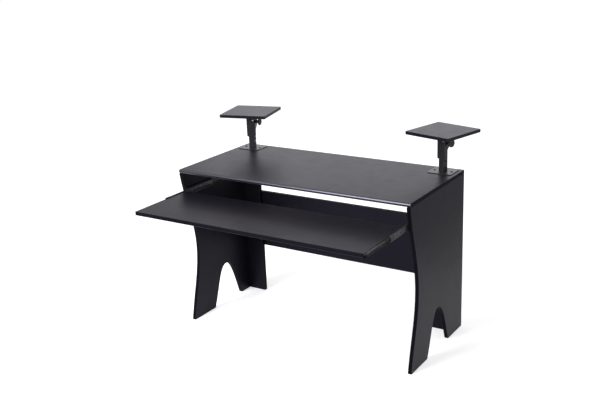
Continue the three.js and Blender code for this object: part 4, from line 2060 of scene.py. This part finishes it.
    def platform_screws(self) -> Piece:
        """Builds the screw heads under the platform.

        Returns:
            The piece.
        """
        frame, middle, reach = self.pivot_frame(), self.platform_middle, self.bracket_screw / 2
        z = self.lift - self.bracket_sheet
        corners = [(x, y + middle) for x in (-reach, reach) for y in (-reach, reach)]
        places = [frame @ Vector((x, y, z)) for x, y in corners]
        names = tuple(f"platform_screw_{i}_{self.word}" for i, _place in enumerate(places, 1))
        return self.screws.piece(
            f"platform_screws_{self.word}", f"platform_{self.word}", places,
            Vector((0, 0, -1)), stands_for=names)

    def pieces(self) -> Iterator[Piece]:
        """Builds the stand's pieces.

        Yields:
            Each piece in turn.
        """
        yield self.base_plate()
        yield self.plate_screws()
        yield self.swivel()
        yield self.mast()
        yield from self.clamp_screws()
        yield self.head()
        yield from self.head_screws()
        yield self.bolt()
        yield self.bracket()
        yield self.platform_screws()
        yield self.platform_board()
        yield self.knob()


@dataclass(frozen=True)
class Card:
    """A grey card beside the picture, which only reflections show.

    Its place is in metres, its size in millimetres, and its tilt lifts its rear end, in degrees.
    """

    name: str
    place: tuple[float, float, float]
    size: Point
    tilt: float = 0
    corner: float = 100
    thickness: float = 10


@dataclass(frozen=True)
class Lamp:
    """A soft rectangular light: its place and size in metres and its power in watts."""

    name: str
    place: tuple[float, float, float]
    size: Point
    power: float


@dataclass
class Studio:
    """The camera, the floor and the light.

    The right side panel and the desktop's left end reflect the cards.
    """

    camera_place: tuple[float, float, float] = (2103.5, -3081.3, 1900.7)
    yaw: float = 31.643
    pitch: float = 18.291
    roll: float = -1.817
    focal_pixels: float = 880.4
    off_centre: Point = (-18.2, 9.6)
    image_width: float = 615
    sensor: float = 36
    clip: Point = (0.05, 100)
    cool: tuple[float, float, float] = (0.92, 0.90, 1.0)
    white: Colour = (1, 1, 1, 1)
    world_light: float = 0.52
    floor_colour: Colour = (0.80, 0.80, 0.80, 1)
    floor_glow: float = 0.6
    floor_side: float = 40000
    floor_corner: float = 1000
    floor_thickness: float = 10
    card_colour: Colour = (0.30, 0.30, 0.30, 1)
    cards: tuple[Card, ...] = (
        Card("card_right", (1.75, 3.45, 0.005), (1500, 5000)),
        Card("card_front", (-1.4, -1.0, 1.25), (1700, 2300), 90))
    lamp_aim: tuple[float, float, float] = (0, 0, 0.6)
    lamps: tuple[Lamp, ...] = (
        Lamp("behind", (-1.2, 3.9, 2.2), (4.6, 1.2), 28),
        Lamp("front_left", (-1.1, -2.5, 2.5), (1.7, 2.4), 185))

    def camera(self) -> None:
        """Adds the camera at the photograph's viewing angle."""
        data = bpy.data.cameras.new("viewpoint")
        data.sensor_width = self.sensor
        data.lens = self.focal_pixels / self.image_width * self.sensor
        data.shift_x, data.shift_y = (value / self.image_width for value in self.off_centre)
        data.clip_start, data.clip_end = self.clip
        obj = bpy.data.objects.new("viewpoint", data)
        bpy.context.scene.collection.objects.link(obj)
        yaw, pitch, roll = (math.radians(a) for a in (self.yaw, self.pitch, self.roll))
        level = Vector((math.cos(yaw), math.sin(yaw), 0))
        ahead = Vector((
            -math.sin(yaw) * math.cos(pitch), math.cos(yaw) * math.cos(pitch), -math.sin(pitch)))
        above = level.cross(ahead)
        right = level * math.cos(roll) + above * math.sin(roll)
        up = above * math.cos(roll) - level * math.sin(roll)
        turn = Matrix((right, up, -ahead)).transposed().to_4x4()
        front = Vector((0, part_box("desktop")[0].y, 0))
        obj.matrix_world = Matrix.Translation(Vector(self.camera_place) * MM + front) @ turn
        bpy.context.scene.camera = obj

    @staticmethod
    def seen(sheet: NodeSheet) -> Socket:
        """Tells rays that show the background from rays that carry light.

        Args:
            sheet: The node sheet of the floor or the world.

        Returns:
            One for camera, glossy and transmission rays, else zero.
        """
        path = found = sheet.add("ShaderNodeLightPath", out="Is Camera Ray")
        for name in ("Is Glossy Ray", "Is Transmission Ray"):
            found = sheet.maths("MAXIMUM", found, path.sibling(name))
        return found

    def floor(self) -> None:
        """Adds the pale floor, which keeps the desk's soft shadow."""
        thickness = self.floor_thickness
        shape = Shape.block(self.floor_side, self.floor_side, self.floor_corner, thickness)
        obj = Shape.held(shape.move(0, 0, -thickness).to_mesh("floor"))
        material, sheet = new_material("pale_floor")
        matt = sheet.add("ShaderNodeBsdfDiffuse", {"Color": self.floor_colour})
        strength = self.seen(sheet) * self.floor_glow
        glow = sheet.add("ShaderNodeEmission", {"Color": self.white, "Strength": strength})
        both = sheet.add("ShaderNodeAddShader", {0: matt, 1: glow})
        sheet.add("ShaderNodeOutputMaterial", {"Surface": both})
        obj.data.materials.append(material)

    def card(self, card: Card) -> None:
        """Adds a grey card beside the picture.

        Args:
            card: The card.
        """
        shape = Shape.block(*card.size, card.corner, card.thickness)
        obj = Shape.held(shape.to_mesh(card.name))
        obj.location = card.place
        obj.rotation_euler = (math.radians(card.tilt), 0, 0)
        material, sheet = new_material(card.name)
        matt = sheet.add("ShaderNodeBsdfDiffuse", {"Color": self.card_colour})
        sheet.add("ShaderNodeOutputMaterial", {"Surface": matt})
        obj.data.materials.append(material)
        obj.visible_camera = obj.visible_diffuse = obj.visible_shadow = False

    def world(self) -> None:
        """Sets a plain white world that lights softly and shows white behind the desk."""
        world = bpy.data.worlds.new("white_studio")
        world.use_nodes = True
        bpy.context.scene.world = world
        sheet = NodeSheet(world.node_tree)
        strength = self.seen(sheet) * (1 - self.world_light) + self.world_light
        glow = sheet.add("ShaderNodeBackground", {"Color": self.white, "Strength": strength})
        sheet.add("ShaderNodeOutputWorld", {"Surface": glow})

    def lamp(self, lamp: Lamp) -> None:
        """Adds a soft rectangular light that looks at the desk.

        Args:
            lamp: The lamp.
        """
        data = bpy.data.lights.new(lamp.name, "AREA")
        data.shape = "RECTANGLE"
        data.size, data.size_y = lamp.size
        data.energy = lamp.power
        data.color = self.cool
        obj = bpy.data.objects.new(lamp.name, data)
        bpy.context.scene.collection.objects.link(obj)
        obj.location = lamp.place
        ahead = Vector(self.lamp_aim) - Vector(lamp.place)
        obj.rotation_euler = ahead.to_track_quat("-Z", "Y").to_euler()

    def build(self) -> None:
        """Sets up the whole studio."""
        self.camera()
        self.floor()
        for card in self.cards:
            self.card(card)
        self.world()
        for lamp in self.lamps:
            self.lamp(lamp)
        bpy.context.scene.view_settings.view_transform = "Standard"


def main() -> None:
    """Builds the studio and the desk, piece by piece."""
    logging.basicConfig(level=logging.INFO, format="%(message)s")
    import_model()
    Studio().build()
    workshop = Workshop()
    carcass = Carcass()
    assemblies: list[Assembly] = [carcass, TrayRunners(carcass)]
    assemblies += [MonitorStand(carcass, side) for side in Side]
    for assembly in assemblies:
        for piece in assembly.pieces():
            workshop.finish(piece)
    LOG.info("%d pieces made", len(workshop.made))


if __name__ == "__main__":
    main()
